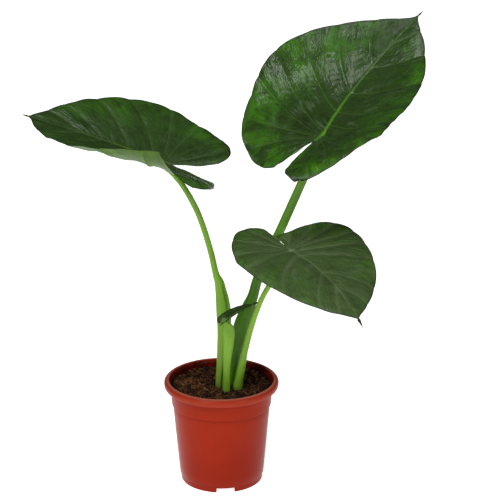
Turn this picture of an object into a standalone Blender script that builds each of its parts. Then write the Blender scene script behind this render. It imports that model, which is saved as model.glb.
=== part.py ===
"""Potted alocasia: four heart-shaped leaves on fleshy stalks, growing from the soil of a plastic nursery pot.

Metres, +Z up. The origin is the centre of the pot's base, on the surface that the pot stands on. The front is -Y.
Every leaf is a flat heart-shaped outline that is folded along its midrib, bowed, curled and set on its stalk.
"""

import math

import bmesh
import bpy
import numpy as np
from mathutils import Matrix, Vector

# Pot
POT_HEIGHT = 0.158
RIM_RADIUS = 0.085
RIM_WIDTH = 0.0090
RIM_SKIRT = 0.011
COLLAR_HEIGHT = 0.038
COLLAR_STEP = 0.0016
COLLAR_TAPER = 0.0022
BASE_RADIUS = 0.0628
FOOT_HEIGHT = 0.010
FOOT_STEP = 0.0013
WALL = 0.0012
CHANNEL_HEIGHT = 0.008
DISC_RADIUS = 0.0375
NOTCH_WIDTH = 0.026
NOTCH_HEIGHT = 0.0072
NOTCH_ANGLES = (-84, 36, 156)
HOLE_DIAMETER = 0.008
HOLE_COUNT = 6
POT_STEPS = 48

# Soil
SOIL_BELOW_RIM = 0.0115
SOIL_RELIEF = 0.0025
ROOT_DEPTH = 0.022
SOIL_STEPS = 40

# Plant. Stalk places at the crown and stalk widths are in girths, so that neighbours keep clear of each other.
GIRTH = 0.0100
CROWN_X = 0.010
CROWN_Y = -0.006
GAP = 0.0003
BLADE_THICKNESS = 0.0010
BLADE_ROWS = 26
BLADE_COLUMNS = 6
STALK_SIDES = 14
STALK_RINGS_PER_POINT = 1

# Half of a blade's outline, in blade lengths, from the tip round the lobe to the bottom of the sinus.
# x runs from the stalk to the tip and y is the distance from the midrib.
OUTLINE = (
    (1.03, 0.000),
    (0.98, 0.028),
    (0.86, 0.190),
    (0.66, 0.385),
    (0.45, 0.510),
    (0.24, 0.580),
    (-0.01, 0.595),
    (-0.25, 0.500),
    (-0.41, 0.330),
    (-0.44, 0.170),
    (-0.34, 0.075),
    (-0.20, 0.035),
    (-0.08, 0.000),
)
STALK_SHARE = 0.385  # share of the margin, from the tip, whose veins start on the midrib before the stalk
SINUS_X = -0.08

# Angles are in degrees. "stalk_end" is where the stalk meets the blade, from the pot's axis and above the soil.
# A half's fold is its angle at the midrib and fold_change what a blade length adds to it. bow is its curvature
# across, curl turns up its margin, lobe and width stretch its outline, skew and bulge move its width along, and
# sinus under 1 closes the gap between the lobes. sweep bends the midrib sideways.
LEAVES = {
    "left_leaf": dict(
        stalk_end=(-0.0852, 0.0373, 0.3365), length=0.202, heading=175, rise=20, roll=-14, twist=-7, droop=5,
        sweep=0,
        left=dict(fold=15.7, fold_change=-9, bow=35, curl=60, curl_change=-62, lobe_curl=-122, lobe_droop=0,
                  width=1.04, lobe=0.93, skew=-0.02, bulge=0.27, sinus=1.0),
        right=dict(fold=6.6, fold_change=-1.7, bow=0, curl=-4.4, curl_change=0.3, lobe_curl=0, lobe_droop=73,
                   width=0.99, lobe=1.093, skew=0.0, bulge=-0.327, sinus=0.7),
    ),
    "upper_right_leaf": dict(
        stalk_end=(0.1484, 0.0492, 0.3735), length=0.234, heading=35.6, rise=24.1, roll=-6.7, twist=27, droop=-31.5,
        sweep=0.165,
        left=dict(fold=-0.5, fold_change=31, bow=44.4, curl=2.4, curl_change=4.2, lobe_curl=0, lobe_droop=-33.6,
                  width=1.17, lobe=0.706, skew=-0.18, bulge=0.20, sinus=0.94),
        right=dict(fold=-13.8, fold_change=4, bow=101.3, curl=-63, curl_change=29.5, lobe_curl=0, lobe_droop=-8,
                   width=1.085, lobe=0.98, skew=-0.106, bulge=-0.137, sinus=0.6),
    ),
    "lower_right_leaf": dict(
        stalk_end=(0.1016, -0.0403, 0.2260), length=0.1756, heading=-60.5, rise=-7.5, roll=14, twist=-5.3, droop=18.2,
        sweep=0.041,
        left=dict(fold=-10.4, fold_change=-13, bow=1.2, curl=4, curl_change=-8.6, lobe_curl=0, lobe_droop=-30.6,
                  width=1.01, lobe=0.671, skew=-0.11, bulge=0.11, sinus=0.73),
        right=dict(fold=17.5, fold_change=-7.7, bow=-9.1, curl=-17.2, curl_change=2.3, lobe_curl=0, lobe_droop=-1.2,
                   width=0.897, lobe=1.166, skew=0.228, bulge=0.023, sinus=0.41),
    ),
    "small_leaf": dict(
        stalk_end=(0.0050, -0.0300, 0.1140), length=0.049, heading=-4, rise=41, roll=38, twist=0, droop=26,
        sweep=0,
        left=dict(fold=42, fold_change=0, bow=20, curl=0, curl_change=0, lobe_curl=0, lobe_droop=0,
                  width=0.35, lobe=0.30, skew=-0.1, bulge=0.0, sinus=1.0),
        right=dict(fold=42, fold_change=0, bow=20, curl=0, curl_change=0, lobe_curl=0, lobe_droop=0,
                   width=0.35, lobe=0.30, skew=-0.1, bulge=0.0, sinus=1.0),
    ),
}

# A stalk's foot is its place at the crown, in girths from the crown's middle. Each of its stations is a share of
# the height to the blade, shares of the way across to the blade in X and Y, how far the sheath's middle lies
# aside in X, and the half widths in X and Y, the last three in girths.
STALKS = {
    "left_leaf": dict(
        foot=(-1.40, 0.20),
        stations=(
            (0.00, 0.000, 0.00, 0.00, 0.50, 0.60),
            (0.12, 0.000, 0.04, 0.40, 0.60, 0.60),
            (0.25, 0.000, 0.12, 0.80, 0.96, 0.56),
            (0.34, 0.000, 0.18, 0.78, 1.06, 0.52),
            (0.40, 0.000, 0.24, 0.58, 0.96, 0.50),
            (0.44, 0.000, 0.28, 0.37, 0.81, 0.48),
            (0.475, 0.015, 0.32, 0.28, 0.70, 0.47),
            (0.505, 0.030, 0.36, 0.00, 0.54, 0.46),
            (0.54, 0.065, 0.40, 0.00, 0.48, 0.46),
            (0.61, 0.130, 0.50, 0.00, 0.46, 0.45),
            (0.72, 0.264, 0.62, 0.00, 0.45, 0.45),
            (0.81, 0.413, 0.72, 0.00, 0.44, 0.44),
            (0.91, 0.660, 0.86, 0.00, 0.43, 0.43),
            (1.00, 1.000, 1.00, 0.00, 0.42, 0.42),
        ),
    ),
    "upper_right_leaf": dict(
        foot=(0.75, 1.30),
        stations=(
            (0.00, 0.000, 0.00, 0.00, 0.62, 0.55),
            (0.07, 0.012, 0.02, 0.00, 0.64, 0.56),
            (0.13, 0.037, 0.05, 0.00, 0.70, 0.57),
            (0.184, 0.087, 0.08, 0.00, 0.78, 0.58),
            (0.24, 0.105, 0.13, 0.00, 1.08, 0.58),
            (0.28, 0.132, 0.16, 0.00, 1.12, 0.57),
            (0.32, 0.174, 0.20, 0.00, 0.98, 0.56),
            (0.364, 0.220, 0.27, 0.00, 0.82, 0.55),
            (0.43, 0.272, 0.37, 0.00, 0.76, 0.55),
            (0.52, 0.381, 0.48, 0.00, 0.72, 0.55),
            (0.61, 0.504, 0.58, 0.00, 0.70, 0.54),
            (0.70, 0.617, 0.67, 0.00, 0.68, 0.54),
            (0.90, 0.866, 0.87, 0.00, 0.64, 0.52),
            (1.00, 1.000, 1.00, 0.00, 0.60, 0.50),
        ),
    ),
    "lower_right_leaf": dict(
        foot=(1.28, -0.30),
        stations=(
            (0.00, 0.000, 0.00, 0.00, 0.86, 0.66),
            (0.10, 0.057, 0.02, 0.00, 0.68, 0.62),
            (0.20, 0.114, 0.06, 0.00, 0.56, 0.58),
            (0.28, 0.160, 0.12, 0.00, 0.47, 0.52),
            (0.43, 0.258, 0.26, 0.00, 0.45, 0.46),
            (0.58, 0.388, 0.42, 0.00, 0.39, 0.42),
            (0.67, 0.485, 0.53, 0.00, 0.40, 0.40),
            (0.75, 0.600, 0.64, 0.00, 0.39, 0.40),
            (0.90, 0.830, 0.86, 0.00, 0.38, 0.38),
            (1.00, 1.000, 1.00, 0.00, 0.37, 0.37),
        ),
    ),
    "small_leaf": dict(
        foot=(-0.51, -1.50),
        stations=(
            (0.00, 0.000, 0.00, 0.00, 0.36, 0.32),
            (0.20, 0.000, 0.00, 0.11, 0.32, 0.32),
            (0.33, 0.000, 0.00, 0.16, 0.35, 0.33),
            (0.45, 0.000, 0.00, 0.28, 0.44, 0.36),
            (0.57, 0.000, 0.02, 0.44, 0.56, 0.38),
            (0.69, 0.000, 0.04, 0.58, 0.70, 0.38),
            (0.81, 0.000, 0.08, 0.70, 0.82, 0.36),
            (0.90, 0.000, 0.16, 0.62, 0.72, 0.32),
            (0.95, 0.300, 0.50, 0.30, 0.42, 0.26),
            (1.00, 1.000, 1.00, 0.00, 0.20, 0.18),
        ),
    ),
}

SOIL_LEVEL = POT_HEIGHT - SOIL_BELOW_RIM


def clear_scene():
    for item in list(bpy.data.objects):
        bpy.data.objects.remove(item, do_unlink=True)


def new_collection(name):
    made = bpy.data.collections.new(name)
    bpy.context.scene.collection.children.link(made)
    return made


def material(name, colour, roughness):
    made = bpy.data.materials.new(name)
    made.use_nodes = True
    shader = made.node_tree.nodes["Principled BSDF"]
    shader.inputs["Base Color"].default_value = (*colour, 1.0)
    shader.inputs["Roughness"].default_value = roughness
    shader.inputs["Metallic"].default_value = 0.0
    return made


def add_object(name, mesh, collection, surface=None):
    made = bpy.data.objects.new(name, mesh)
    collection.objects.link(made)
    if surface is not None:
        mesh.materials.append(surface)
        mesh.shade_smooth()
        mesh.set_sharp_from_angle(angle=math.radians(40))
    return made


def add_cutter(name, mesh, collection):
    made = add_object(name, mesh, collection)
    made.hide_render = True
    made.display_type = "WIRE"
    return made


def cut(target, cutter):
    modifier = target.modifiers.new(cutter.name, "BOOLEAN")
    modifier.operation = "DIFFERENCE"
    modifier.solver = "EXACT"
    modifier.object = cutter


def mesh_from(bm, name):
    mesh = bpy.data.meshes.new(name)
    bm.to_mesh(mesh)
    bm.free()
    return mesh


def smooth_points(points, steps):
    """Catmull-Rom points through all the given ones, with so many steps between two of them."""
    given = np.array(points, float)
    ends = np.vstack([2 * given[0] - given[1], given, 2 * given[-1] - given[-2]])
    found = []
    for i in range(len(given) - 1):
        before, start, end, after = ends[i : i + 4]
        for step in range(steps):
            t = step / steps
            found.append(
                0.5 * (2 * start + (end - before) * t
                       + (2 * before - 5 * start + 4 * end - after) * t**2
                       + (3 * start - before - 3 * end + after) * t**3)
            )
    found.append(given[-1])
    return np.array(found)


# ---------------------------------------------------------------- pot

def collar_radii():
    """The collar's outer radius at its top and bottom, and the body's just below it."""
    top = RIM_RADIUS - RIM_WIDTH
    bottom = top - COLLAR_TAPER
    return top, bottom, bottom - COLLAR_STEP


def pot_inside():
    """The inside of the pot's wall and floor, from the middle of the floor up to the rim."""
    collar_top, collar_bottom, body_top = collar_radii()
    step_z = POT_HEIGHT - COLLAR_HEIGHT
    return [
        (0.0, WALL),
        (DISC_RADIUS - WALL, WALL),
        (DISC_RADIUS, CHANNEL_HEIGHT + WALL),
        (BASE_RADIUS - WALL, CHANNEL_HEIGHT + WALL),
        (BASE_RADIUS - WALL, FOOT_HEIGHT + WALL),
        (body_top - WALL, step_z - COLLAR_STEP),
        (collar_bottom - WALL, step_z + WALL),
        (collar_top - WALL, POT_HEIGHT - 0.006),
    ]


def pot_profile():
    """The pot's section: up its inside, over the rim, down its outside and in along its underside."""
    collar_top, collar_bottom, body_top = collar_radii()
    step_z = POT_HEIGHT - COLLAR_HEIGHT
    foot = BASE_RADIUS - FOOT_STEP
    skirt = RIM_RADIUS - 0.0006
    rim = [
        (collar_top, POT_HEIGHT - 0.0028),
        (collar_top + 0.0016, POT_HEIGHT - 0.0008),
        (collar_top + 0.0030, POT_HEIGHT),
        (RIM_RADIUS - 0.0036, POT_HEIGHT),
        (RIM_RADIUS - 0.0014, POT_HEIGHT - 0.0008),
        (RIM_RADIUS - 0.0003, POT_HEIGHT - 0.0026),
        (RIM_RADIUS, POT_HEIGHT - 0.0050),
        (skirt, POT_HEIGHT - RIM_SKIRT),
        (skirt - 0.0012, POT_HEIGHT - RIM_SKIRT),
        (skirt - 0.0014, POT_HEIGHT - 0.0040),
        (collar_top + 0.0010, POT_HEIGHT - 0.0040),
        (collar_top, POT_HEIGHT - 0.0060),
    ]
    outside = [
        (collar_bottom, step_z + 0.0008),
        (collar_bottom - 0.0005, step_z),
        (body_top, step_z - 0.0006),
        (BASE_RADIUS, FOOT_HEIGHT + 0.0006),
        (foot, FOOT_HEIGHT - 0.0006),
        (foot - 0.0006, 0.0008),
        (foot - 0.0012, 0.0),
        (foot - WALL - 0.0006, 0.0),
        (foot - WALL, CHANNEL_HEIGHT),
        (DISC_RADIUS + WALL, CHANNEL_HEIGHT),
        (DISC_RADIUS, 0.0),
        (0.0, 0.0),
    ]
    return pot_inside() + rim + outside


def turned_mesh(name, profile, steps):
    """The profile turned round Z by a Screw modifier, as a mesh."""
    mesh = bpy.data.meshes.new(name)
    points = [(r, 0.0, z) for r, z in profile]
    mesh.from_pydata(points, [(i, i + 1) for i in range(len(points) - 1)], [])
    holder = bpy.data.objects.new(name, mesh)
    bpy.context.scene.collection.objects.link(holder)
    screw = holder.modifiers.new("turn", "SCREW")
    screw.steps = steps
    screw.render_steps = steps
    screw.use_merge_vertices = True
    screw.merge_threshold = 0.00001
    graph = bpy.context.evaluated_depsgraph_get()
    turned = bpy.data.meshes.new_from_object(holder.evaluated_get(graph))
    bpy.data.objects.remove(holder)
    bpy.data.meshes.remove(mesh)
    turned.name = name
    return turned


def notch_cutter_mesh(angle):
    """A wedge through the foot, wider at the bottom."""
    bm = bmesh.new()
    bmesh.ops.create_cube(bm, size=1.0)
    for vertex in bm.verts:
        widening = 1.10 if vertex.co.z < 0 else 1.0
        vertex.co.x *= 0.014
        vertex.co.y *= NOTCH_WIDTH * widening
        vertex.co.z *= 2 * NOTCH_HEIGHT
    turn = Matrix.Rotation(math.radians(angle), 4, "Z")
    bmesh.ops.transform(bm, verts=bm.verts, matrix=turn @ Matrix.Translation((BASE_RADIUS - 0.003, 0, 0)))
    return mesh_from(bm, "notch")


def hole_cutter_mesh(angle):
    """A round drain hole through the raised ring of the floor."""
    radius = (DISC_RADIUS + BASE_RADIUS) / 2
    place = Vector((radius * math.cos(angle), radius * math.sin(angle), CHANNEL_HEIGHT + WALL / 2))
    bm = bmesh.new()
    bmesh.ops.create_cone(
        bm, cap_ends=True, segments=16, radius1=HOLE_DIAMETER / 2, radius2=HOLE_DIAMETER / 2,
        depth=4 * WALL, matrix=Matrix.Translation(place),
    )
    return mesh_from(bm, "drain_hole")


def build_pot(parts, cutters):
    surface = material("terracotta_plastic", (0.376, 0.034, 0.018), 0.38)
    pot = add_object("pot", turned_mesh("pot", pot_profile(), POT_STEPS), parts, surface)
    for number, angle in enumerate(NOTCH_ANGLES):
        cut(pot, add_cutter(f"notch_cutter_{number}", notch_cutter_mesh(angle), cutters))
    for number in range(HOLE_COUNT):
        angle = 2 * math.pi * (number + 0.5) / HOLE_COUNT
        cut(pot, add_cutter(f"hole_cutter_{number}", hole_cutter_mesh(angle), cutters))
    return pot


# ---------------------------------------------------------------- soil

def soil_relief(x, y):
    """How far the soil's surface rises above its level: uneven, and a little lower round the crown."""
    scale = 1.0 / RIM_RADIUS
    u = x * scale
    v = y * scale
    waves = math.sin(5.1 * u + 1.3) * math.cos(4.3 * v - 0.4) + 0.6 * math.sin(9.7 * u - 7.9 * v + 0.8)
    hollow = math.exp(-((x - CROWN_X) ** 2 + (y - CROWN_Y) ** 2) / (0.4 * RIM_RADIUS) ** 2)
    return SOIL_RELIEF * (0.45 * waves - 0.9 * hollow + 0.3)


def soil_profile():
    """The soil's section: out across its top, down the pot's wall and in along the floor."""
    inside = pot_inside()
    wall_top = inside[-1]
    wall_below = inside[-2]
    share = (SOIL_LEVEL - wall_below[1]) / (wall_top[1] - wall_below[1])
    edge = wall_below[0] + share * (wall_top[0] - wall_below[0]) - 2 * GAP
    top = [(edge * i / 7, SOIL_LEVEL) for i in range(8)]
    wall = [(r - 2 * GAP, z + 2 * GAP) for r, z in reversed(inside[3:-1])]
    floor = [(r - 2 * GAP, z + GAP) for r, z in reversed(inside[1:3])]
    return top + wall + floor + [(0.0, WALL + GAP)]


def build_soil(parts, cutters):
    surface = material("potting_soil", (0.030, 0.013, 0.008), 0.95)
    mesh = turned_mesh("soil", soil_profile(), SOIL_STEPS)
    for vertex in mesh.vertices:
        if vertex.co.z > SOIL_LEVEL - GAP:
            vertex.co.z += soil_relief(vertex.co.x, vertex.co.y)
    soil = add_object("soil", mesh, parts, surface)
    for name in STALKS:
        socket = loft_mesh(f"{name}_socket", stalk_rings(name, GAP, socket=True))
        cut(soil, add_cutter(f"{name}_socket_cutter", socket, cutters))
    return soil


# ---------------------------------------------------------------- leaves

def half_outline(half):
    """One half's margin, from the tip to the bottom of the sinus, in blade lengths, and each point's share of it."""
    curve = smooth_points(OUTLINE, 12)
    x = curve[:, 0]
    spread = 1 + half["skew"] * (x - 0.2) + half["bulge"] * ((x - 0.25) ** 2 - 0.12)
    curve[:, 1] *= half["width"] * spread
    curve[:, 0] = np.where(x < SINUS_X, SINUS_X + (x - SINUS_X) * half["lobe"], x)
    lobe_tip = curve[:, 0].argmin()
    inward = np.clip(3 * (np.arange(len(curve)) - lobe_tip) / (len(curve) - 1 - lobe_tip), 0, 1)
    curve[:, 1] *= 1 + (half["sinus"] - 1) * inward**2 * (3 - 2 * inward)
    along = np.concatenate([[0], np.cumsum(np.linalg.norm(np.diff(curve, axis=0), axis=1))])
    return curve, along / along[-1]


def flat_point(half, outline, along, share, across):
    """A place on the flat half: share along the margin, and across from the midrib to the margin."""
    margin = np.array([np.interp(share, along, outline[:, 0]), np.interp(share, along, outline[:, 1])])
    if share < STALK_SHARE:
        start_x = OUTLINE[0][0] * (1 - share / STALK_SHARE)
    else:
        start_x = SINUS_X * (share - STALK_SHARE) / (1 - STALK_SHARE)
    start = np.array([start_x, 0.0])
    bend = np.array([start_x + 0.35 * (margin[0] - start_x), 0.6 * margin[1]])
    return (1 - across) ** 2 * start + 2 * across * (1 - across) * bend + across**2 * margin


def half_width_at(outline, x):
    """The half's width at x, from the margin between the tip and the end of the lobe."""
    outer = outline[: outline[:, 0].argmin() + 1][::-1]
    return float(np.interp(x, outer[:, 0], outer[:, 1]))


def bent_point(leaf, half, side, outline, flat):
    """The flat place folded along the midrib, bowed, curled and twisted, in blade lengths."""
    x, y = flat
    whole = max(half_width_at(outline, x), y, 1e-6)
    steps = (np.arange(14) + 0.5) / 14
    s = y * steps
    on_lobe = min(max((0.02 - x) / 0.30, 0.0), 1.0) ** 0.7
    angle = np.radians(
        half["fold"] + half["fold_change"] * x + half["bow"] * s
        + (half["curl"] + half["curl_change"] * x + half["lobe_curl"] * on_lobe) * (s / whole) ** 4
    )
    out = side * y * np.cos(angle).mean()
    up = y * np.sin(angle).mean()
    twist = math.radians(leaf["twist"]) * x
    out, up = out * math.cos(twist) - up * math.sin(twist), out * math.sin(twist) + up * math.cos(twist)
    out += leaf["sweep"] * 4 * max(x, 0.0) * (1 - x)
    curvature = math.radians(-leaf["droop"] if x > 0 else half["lobe_droop"])
    turn = curvature * x
    if abs(turn) < 1e-6:
        return Vector((x, out, up))
    along = math.sin(turn) / curvature
    rise = (1 - math.cos(turn)) / curvature
    return Vector((along - up * math.sin(turn), out, rise + up * math.cos(turn)))


def leaf_matrix(leaf):
    """Turns and moves a blade from its own place, stalk end at the origin and tip along +X, to the plant."""
    heading, rise, roll = (math.radians(leaf[key]) for key in ("heading", "rise", "roll"))
    turn = Matrix.Rotation(heading, 4, "Z") @ Matrix.Rotation(-rise, 4, "Y") @ Matrix.Rotation(roll, 4, "X")
    x, y, z = leaf["stalk_end"]
    return Matrix.Translation((x, y, SOIL_LEVEL + z)) @ turn @ Matrix.Scale(leaf["length"], 4)


def blade_mesh(name):
    leaf = LEAVES[name]
    halves = {1: leaf["left"], -1: leaf["right"]}
    outlines = {side: half_outline(half) for side, half in halves.items()}
    place = leaf_matrix(leaf)
    bm = bmesh.new()
    bmesh.ops.create_grid(bm, x_segments=2 * BLADE_COLUMNS, y_segments=BLADE_ROWS, size=1.0)
    for vertex in bm.verts:
        side = 1 if vertex.co.x >= 0 else -1
        outline, along = outlines[side]
        share = (1 - vertex.co.y) / 2
        flat = flat_point(halves[side], outline, along, share, abs(vertex.co.x))
        vertex.co = place @ bent_point(leaf, halves[side], side, outline, flat)
    bmesh.ops.remove_doubles(bm, verts=bm.verts, dist=0.00002)
    bmesh.ops.recalc_face_normals(bm, faces=bm.faces)
    middle = place.to_3x3() @ Vector((0, 0, 1))
    if sum((face.normal.dot(middle) * face.calc_area() for face in bm.faces)) < 0:
        bmesh.ops.reverse_faces(bm, faces=bm.faces)
    return mesh_from(bm, f"{name}_blade")


def build_blade(name, parts, surface):
    blade = add_object(f"{name}_blade", blade_mesh(name), parts, surface)
    thickness = blade.modifiers.new("thickness", "SOLIDIFY")
    thickness.thickness = BLADE_THICKNESS
    thickness.offset = -1
    return blade


# ---------------------------------------------------------------- stalks

def stalk_top(name):
    """A point and the direction of the plane, just under the blade, that the stalk's top is cut by."""
    leaf = LEAVES[name]
    place = leaf_matrix(leaf)
    left_fold, right_fold = (math.radians(leaf[half]["fold"]) for half in ("left", "right"))
    tilt = (left_fold - right_fold) / 2
    across = place.to_3x3() @ Vector((0, -math.sin(tilt), math.cos(tilt)))
    normal = across.normalized()
    # where both halves slope down from the midrib, the stalk's edge has to pass under them
    half_width = STALKS[name]["stations"][-1][4] * GIRTH
    slope_drop = max(0.0, -math.sin((left_fold + right_fold) / 2)) * half_width
    return place.translation - normal * (BLADE_THICKNESS + 2 * GAP + slope_drop), normal


def stalk_stations(name):
    """Centres and half widths along the stalk, from its foot in the soil to the blade."""
    stalk = STALKS[name]
    point, _ = stalk_top(name)
    foot = Vector((CROWN_X + stalk["foot"][0] * GIRTH, CROWN_Y + stalk["foot"][1] * GIRTH, SOIL_LEVEL))
    way = point - foot
    rows = []
    for height, across_x, across_y, aside, wide, deep in stalk["stations"]:
        x = foot.x + across_x * way.x + aside * GIRTH
        rows.append((x, foot.y + across_y * way.y, foot.z + height * way.z, wide * GIRTH, deep * GIRTH))
    below = (foot.x, foot.y, foot.z - ROOT_DEPTH, rows[0][3] * 0.9, rows[0][4] * 0.9)
    return smooth_points([below] + rows, STALK_RINGS_PER_POINT)


def ring(centre, direction, wide, deep):
    """An ellipse of points square to the direction, wide along X and deep along Y as far as it can be."""
    sideways = Vector((1, 0, 0)) - direction * direction.x
    sideways.normalize()
    back = direction.cross(sideways)
    points = []
    for i in range(STALK_SIDES):
        angle = 2 * math.pi * i / STALK_SIDES
        points.append(centre + sideways * (wide * math.cos(angle)) + back * (deep * math.sin(angle)))
    return points


def stalk_rings(name, clearance=0.0, socket=False):
    """The stalk's cross sections. A socket's are larger by the clearance and stop just above the soil."""
    stations = stalk_stations(name)
    centres = [Vector(row[:3]) for row in stations]
    rings = []
    for i, row in enumerate(stations):
        before = centres[max(i - 1, 0)]
        after = centres[min(i + 1, len(centres) - 1)]
        direction = (after - before).normalized()
        centre = centres[i].copy()
        if i == 0:
            centre.z -= clearance
        rings.append(ring(centre, direction, row[3] + clearance, row[4] + clearance))
        if socket and centre.z > SOIL_LEVEL + 0.015:
            return rings
    point, normal = stalk_top(name)
    direction = (centres[-1] - centres[-2]).normalized()
    rings[-1] = [p + direction * ((point - p).dot(normal) / direction.dot(normal)) for p in rings[-2]]
    return rings


def loft_mesh(name, rings):
    """A closed skin through rings that have as many points each, with a cap at each end."""
    bm = bmesh.new()
    loops = [[bm.verts.new(point) for point in points] for points in rings]
    for low, high in zip(loops, loops[1:]):
        for i in range(len(low)):
            j = (i + 1) % len(low)
            bm.faces.new((low[i], low[j], high[j], high[i]))
    bm.faces.new(loops[0][::-1])
    bm.faces.new(loops[-1])
    bmesh.ops.recalc_face_normals(bm, faces=bm.faces)
    return mesh_from(bm, name)


def build_stalk(name, parts, surface):
    return add_object(f"{name}_stalk", loft_mesh(f"{name}_stalk", stalk_rings(name)), parts, surface)


def main():
    clear_scene()
    parts = new_collection("potted_alocasia")
    cutters = new_collection("cutters")
    build_pot(parts, cutters)
    build_soil(parts, cutters)
    blade_surface = material("alocasia_blade", (0.022, 0.075, 0.010), 0.35)
    stalk_surface = material("alocasia_stalk", (0.190, 0.380, 0.035), 0.40)
    for name in LEAVES:
        build_blade(name, parts, blade_surface)
        build_stalk(name, parts, stalk_surface)


main()
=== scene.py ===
"""Looks of the potted alocasia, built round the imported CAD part.

Metres, +Z up, in the frame of the CAD: the origin is the centre of the pot's base and the front is -Y.
Blades, stalks, pot and soil repeat the numbers of the CAD part and are built again much finer. Veins,
quilting and wavy margins are in the meshes. Three of the stalks have wider feet here than in the CAD part,
and the lower right leaf has a narrower sinus.
"""

import math

import bmesh
import bpy
import numpy as np
from mathutils import Matrix, Vector


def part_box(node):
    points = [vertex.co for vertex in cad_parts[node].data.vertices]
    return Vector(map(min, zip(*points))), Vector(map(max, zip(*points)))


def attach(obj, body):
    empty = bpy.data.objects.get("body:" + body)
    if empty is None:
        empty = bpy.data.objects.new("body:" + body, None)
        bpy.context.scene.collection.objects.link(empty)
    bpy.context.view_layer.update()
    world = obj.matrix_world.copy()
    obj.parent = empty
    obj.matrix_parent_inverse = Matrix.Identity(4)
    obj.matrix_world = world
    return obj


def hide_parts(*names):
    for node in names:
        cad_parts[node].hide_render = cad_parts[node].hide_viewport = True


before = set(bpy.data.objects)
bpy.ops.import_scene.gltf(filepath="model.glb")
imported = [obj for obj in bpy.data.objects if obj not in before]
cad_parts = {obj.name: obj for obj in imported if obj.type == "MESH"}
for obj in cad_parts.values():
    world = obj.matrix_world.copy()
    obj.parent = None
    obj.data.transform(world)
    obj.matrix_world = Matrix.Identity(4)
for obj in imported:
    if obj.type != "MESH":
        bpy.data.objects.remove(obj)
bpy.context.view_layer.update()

MM = 0.001

pot_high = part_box("pot")[1]
POT_HEIGHT = pot_high.z
RIM_RADIUS = pot_high.x

# The pot's section, as in the CAD part.
RIM_WIDTH = 9.0 * MM
RIM_SKIRT = 11.0 * MM
COLLAR_HEIGHT = 38.0 * MM
COLLAR_STEP = 1.6 * MM
COLLAR_TAPER = 2.2 * MM
BASE_RADIUS = 62.8 * MM
FOOT_HEIGHT = 10.0 * MM
FOOT_STEP = 1.3 * MM
WALL = 1.2 * MM
CHANNEL_HEIGHT = 8.0 * MM
DISC_RADIUS = 37.5 * MM
NOTCH_WIDTH = 26.0 * MM
NOTCH_HEIGHT = 7.2 * MM
NOTCH_ANGLES = (-84, 36, 156)
HOLE_DIAMETER = 8.0 * MM
HOLE_COUNT = 6
SOIL_BELOW_RIM = 11.5 * MM
SOIL_RELIEF = 2.5 * MM
SOIL_LEVEL = POT_HEIGHT - SOIL_BELOW_RIM

# The plant, as in the CAD part.
GIRTH = 0.0100
CROWN_X = 0.010
CROWN_Y = -0.006
ROOT_DEPTH = 0.022
BLADE_THICKNESS = 0.0010
LARGE_BLADE = 0.22  # reliefs and vein widths are given for a blade of this length
LOBE_CURL_START = 0.02  # from here, in blade lengths, the extra curl of a lobe grows over this reach
LOBE_CURL_REACH = 0.30
LOBE_CURL_POWER = 0.7
CURL_POWER = 4
BEND_STEPS = 14
FOLD_SOFTNESS = 0.018  # the fold is rounded over this much at the midrib, not creased

OUTLINE = (
    (1.03, 0.000),
    (0.98, 0.028),
    (0.86, 0.190),
    (0.66, 0.385),
    (0.45, 0.510),
    (0.24, 0.580),
    (-0.01, 0.595),
    (-0.25, 0.500),
    (-0.41, 0.330),
    (-0.44, 0.170),
    (-0.34, 0.075),
    (-0.20, 0.035),
    (-0.08, 0.000),
)
SINUS_X = -0.08
TIP_X = OUTLINE[0][0]

# A leaf, in metres from the soil's level, blade lengths and degrees.
LEAF_KEYS = ("stalk_end", "length", "heading", "rise", "roll", "twist", "droop", "sweep")
# One half of its blade: angles in degrees, then shares.
HALF_KEYS = (
    "fold", "fold_change", "bow", "curl", "curl_change", "lobe_curl", "lobe_droop", "width", "lobe", "skew",
    "bulge", "sinus",
)
LEAF_ROWS = {
    "left_leaf": (
        ((-0.0852, 0.0373, 0.3365), 0.202, 175, 20, -14, -7, 5, 0),
        (15.7, -9, 35, 60, -62, -122, 0, 1.04, 0.93, -0.02, 0.27, 1.0),
        (6.6, -1.7, 0, -4.4, 0.3, 0, 73, 0.99, 1.093, 0.0, -0.327, 0.7),
    ),
    "upper_right_leaf": (
        ((0.1484, 0.0492, 0.3735), 0.234, 35.6, 24.1, -6.7, 27, -31.5, 0.165),
        (-0.5, 31, 44.4, 2.4, 4.2, 0, -33.6, 1.17, 0.706, -0.18, 0.2, 0.94),
        (-13.8, 4, 101.3, -63, 29.5, 0, -8, 1.085, 0.98, -0.106, -0.137, 0.6),
    ),
    "lower_right_leaf": (
        ((0.1016, -0.0403, 0.226), 0.1756, -60.5, -7.5, 14, -5.3, 18.2, 0.041),
        (-10.4, -13, 1.2, 4, -8.6, 0, -30.6, 1.01, 0.671, -0.11, 0.11, 0.1),
        (17.5, -7.7, -9.1, -17.2, 2.3, 0, -1.2, 0.897, 1.166, 0.228, 0.023, 0.12),
    ),
    "small_leaf": (
        ((0.005, -0.03, 0.114), 0.049, -4, 41, 38, 0, 26, 0),
        (42, 0, 20, 0, 0, 0, 0, 0.35, 0.3, -0.1, 0.0, 1.0),
        (42, 0, 20, 0, 0, 0, 0, 0.35, 0.3, -0.1, 0.0, 1.0),
    ),
}
LEAVES = {
    name: dict(zip(LEAF_KEYS, leaf), left=dict(zip(HALF_KEYS, left)), right=dict(zip(HALF_KEYS, right)))
    for name, (leaf, left, right) in LEAF_ROWS.items()
}

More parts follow.
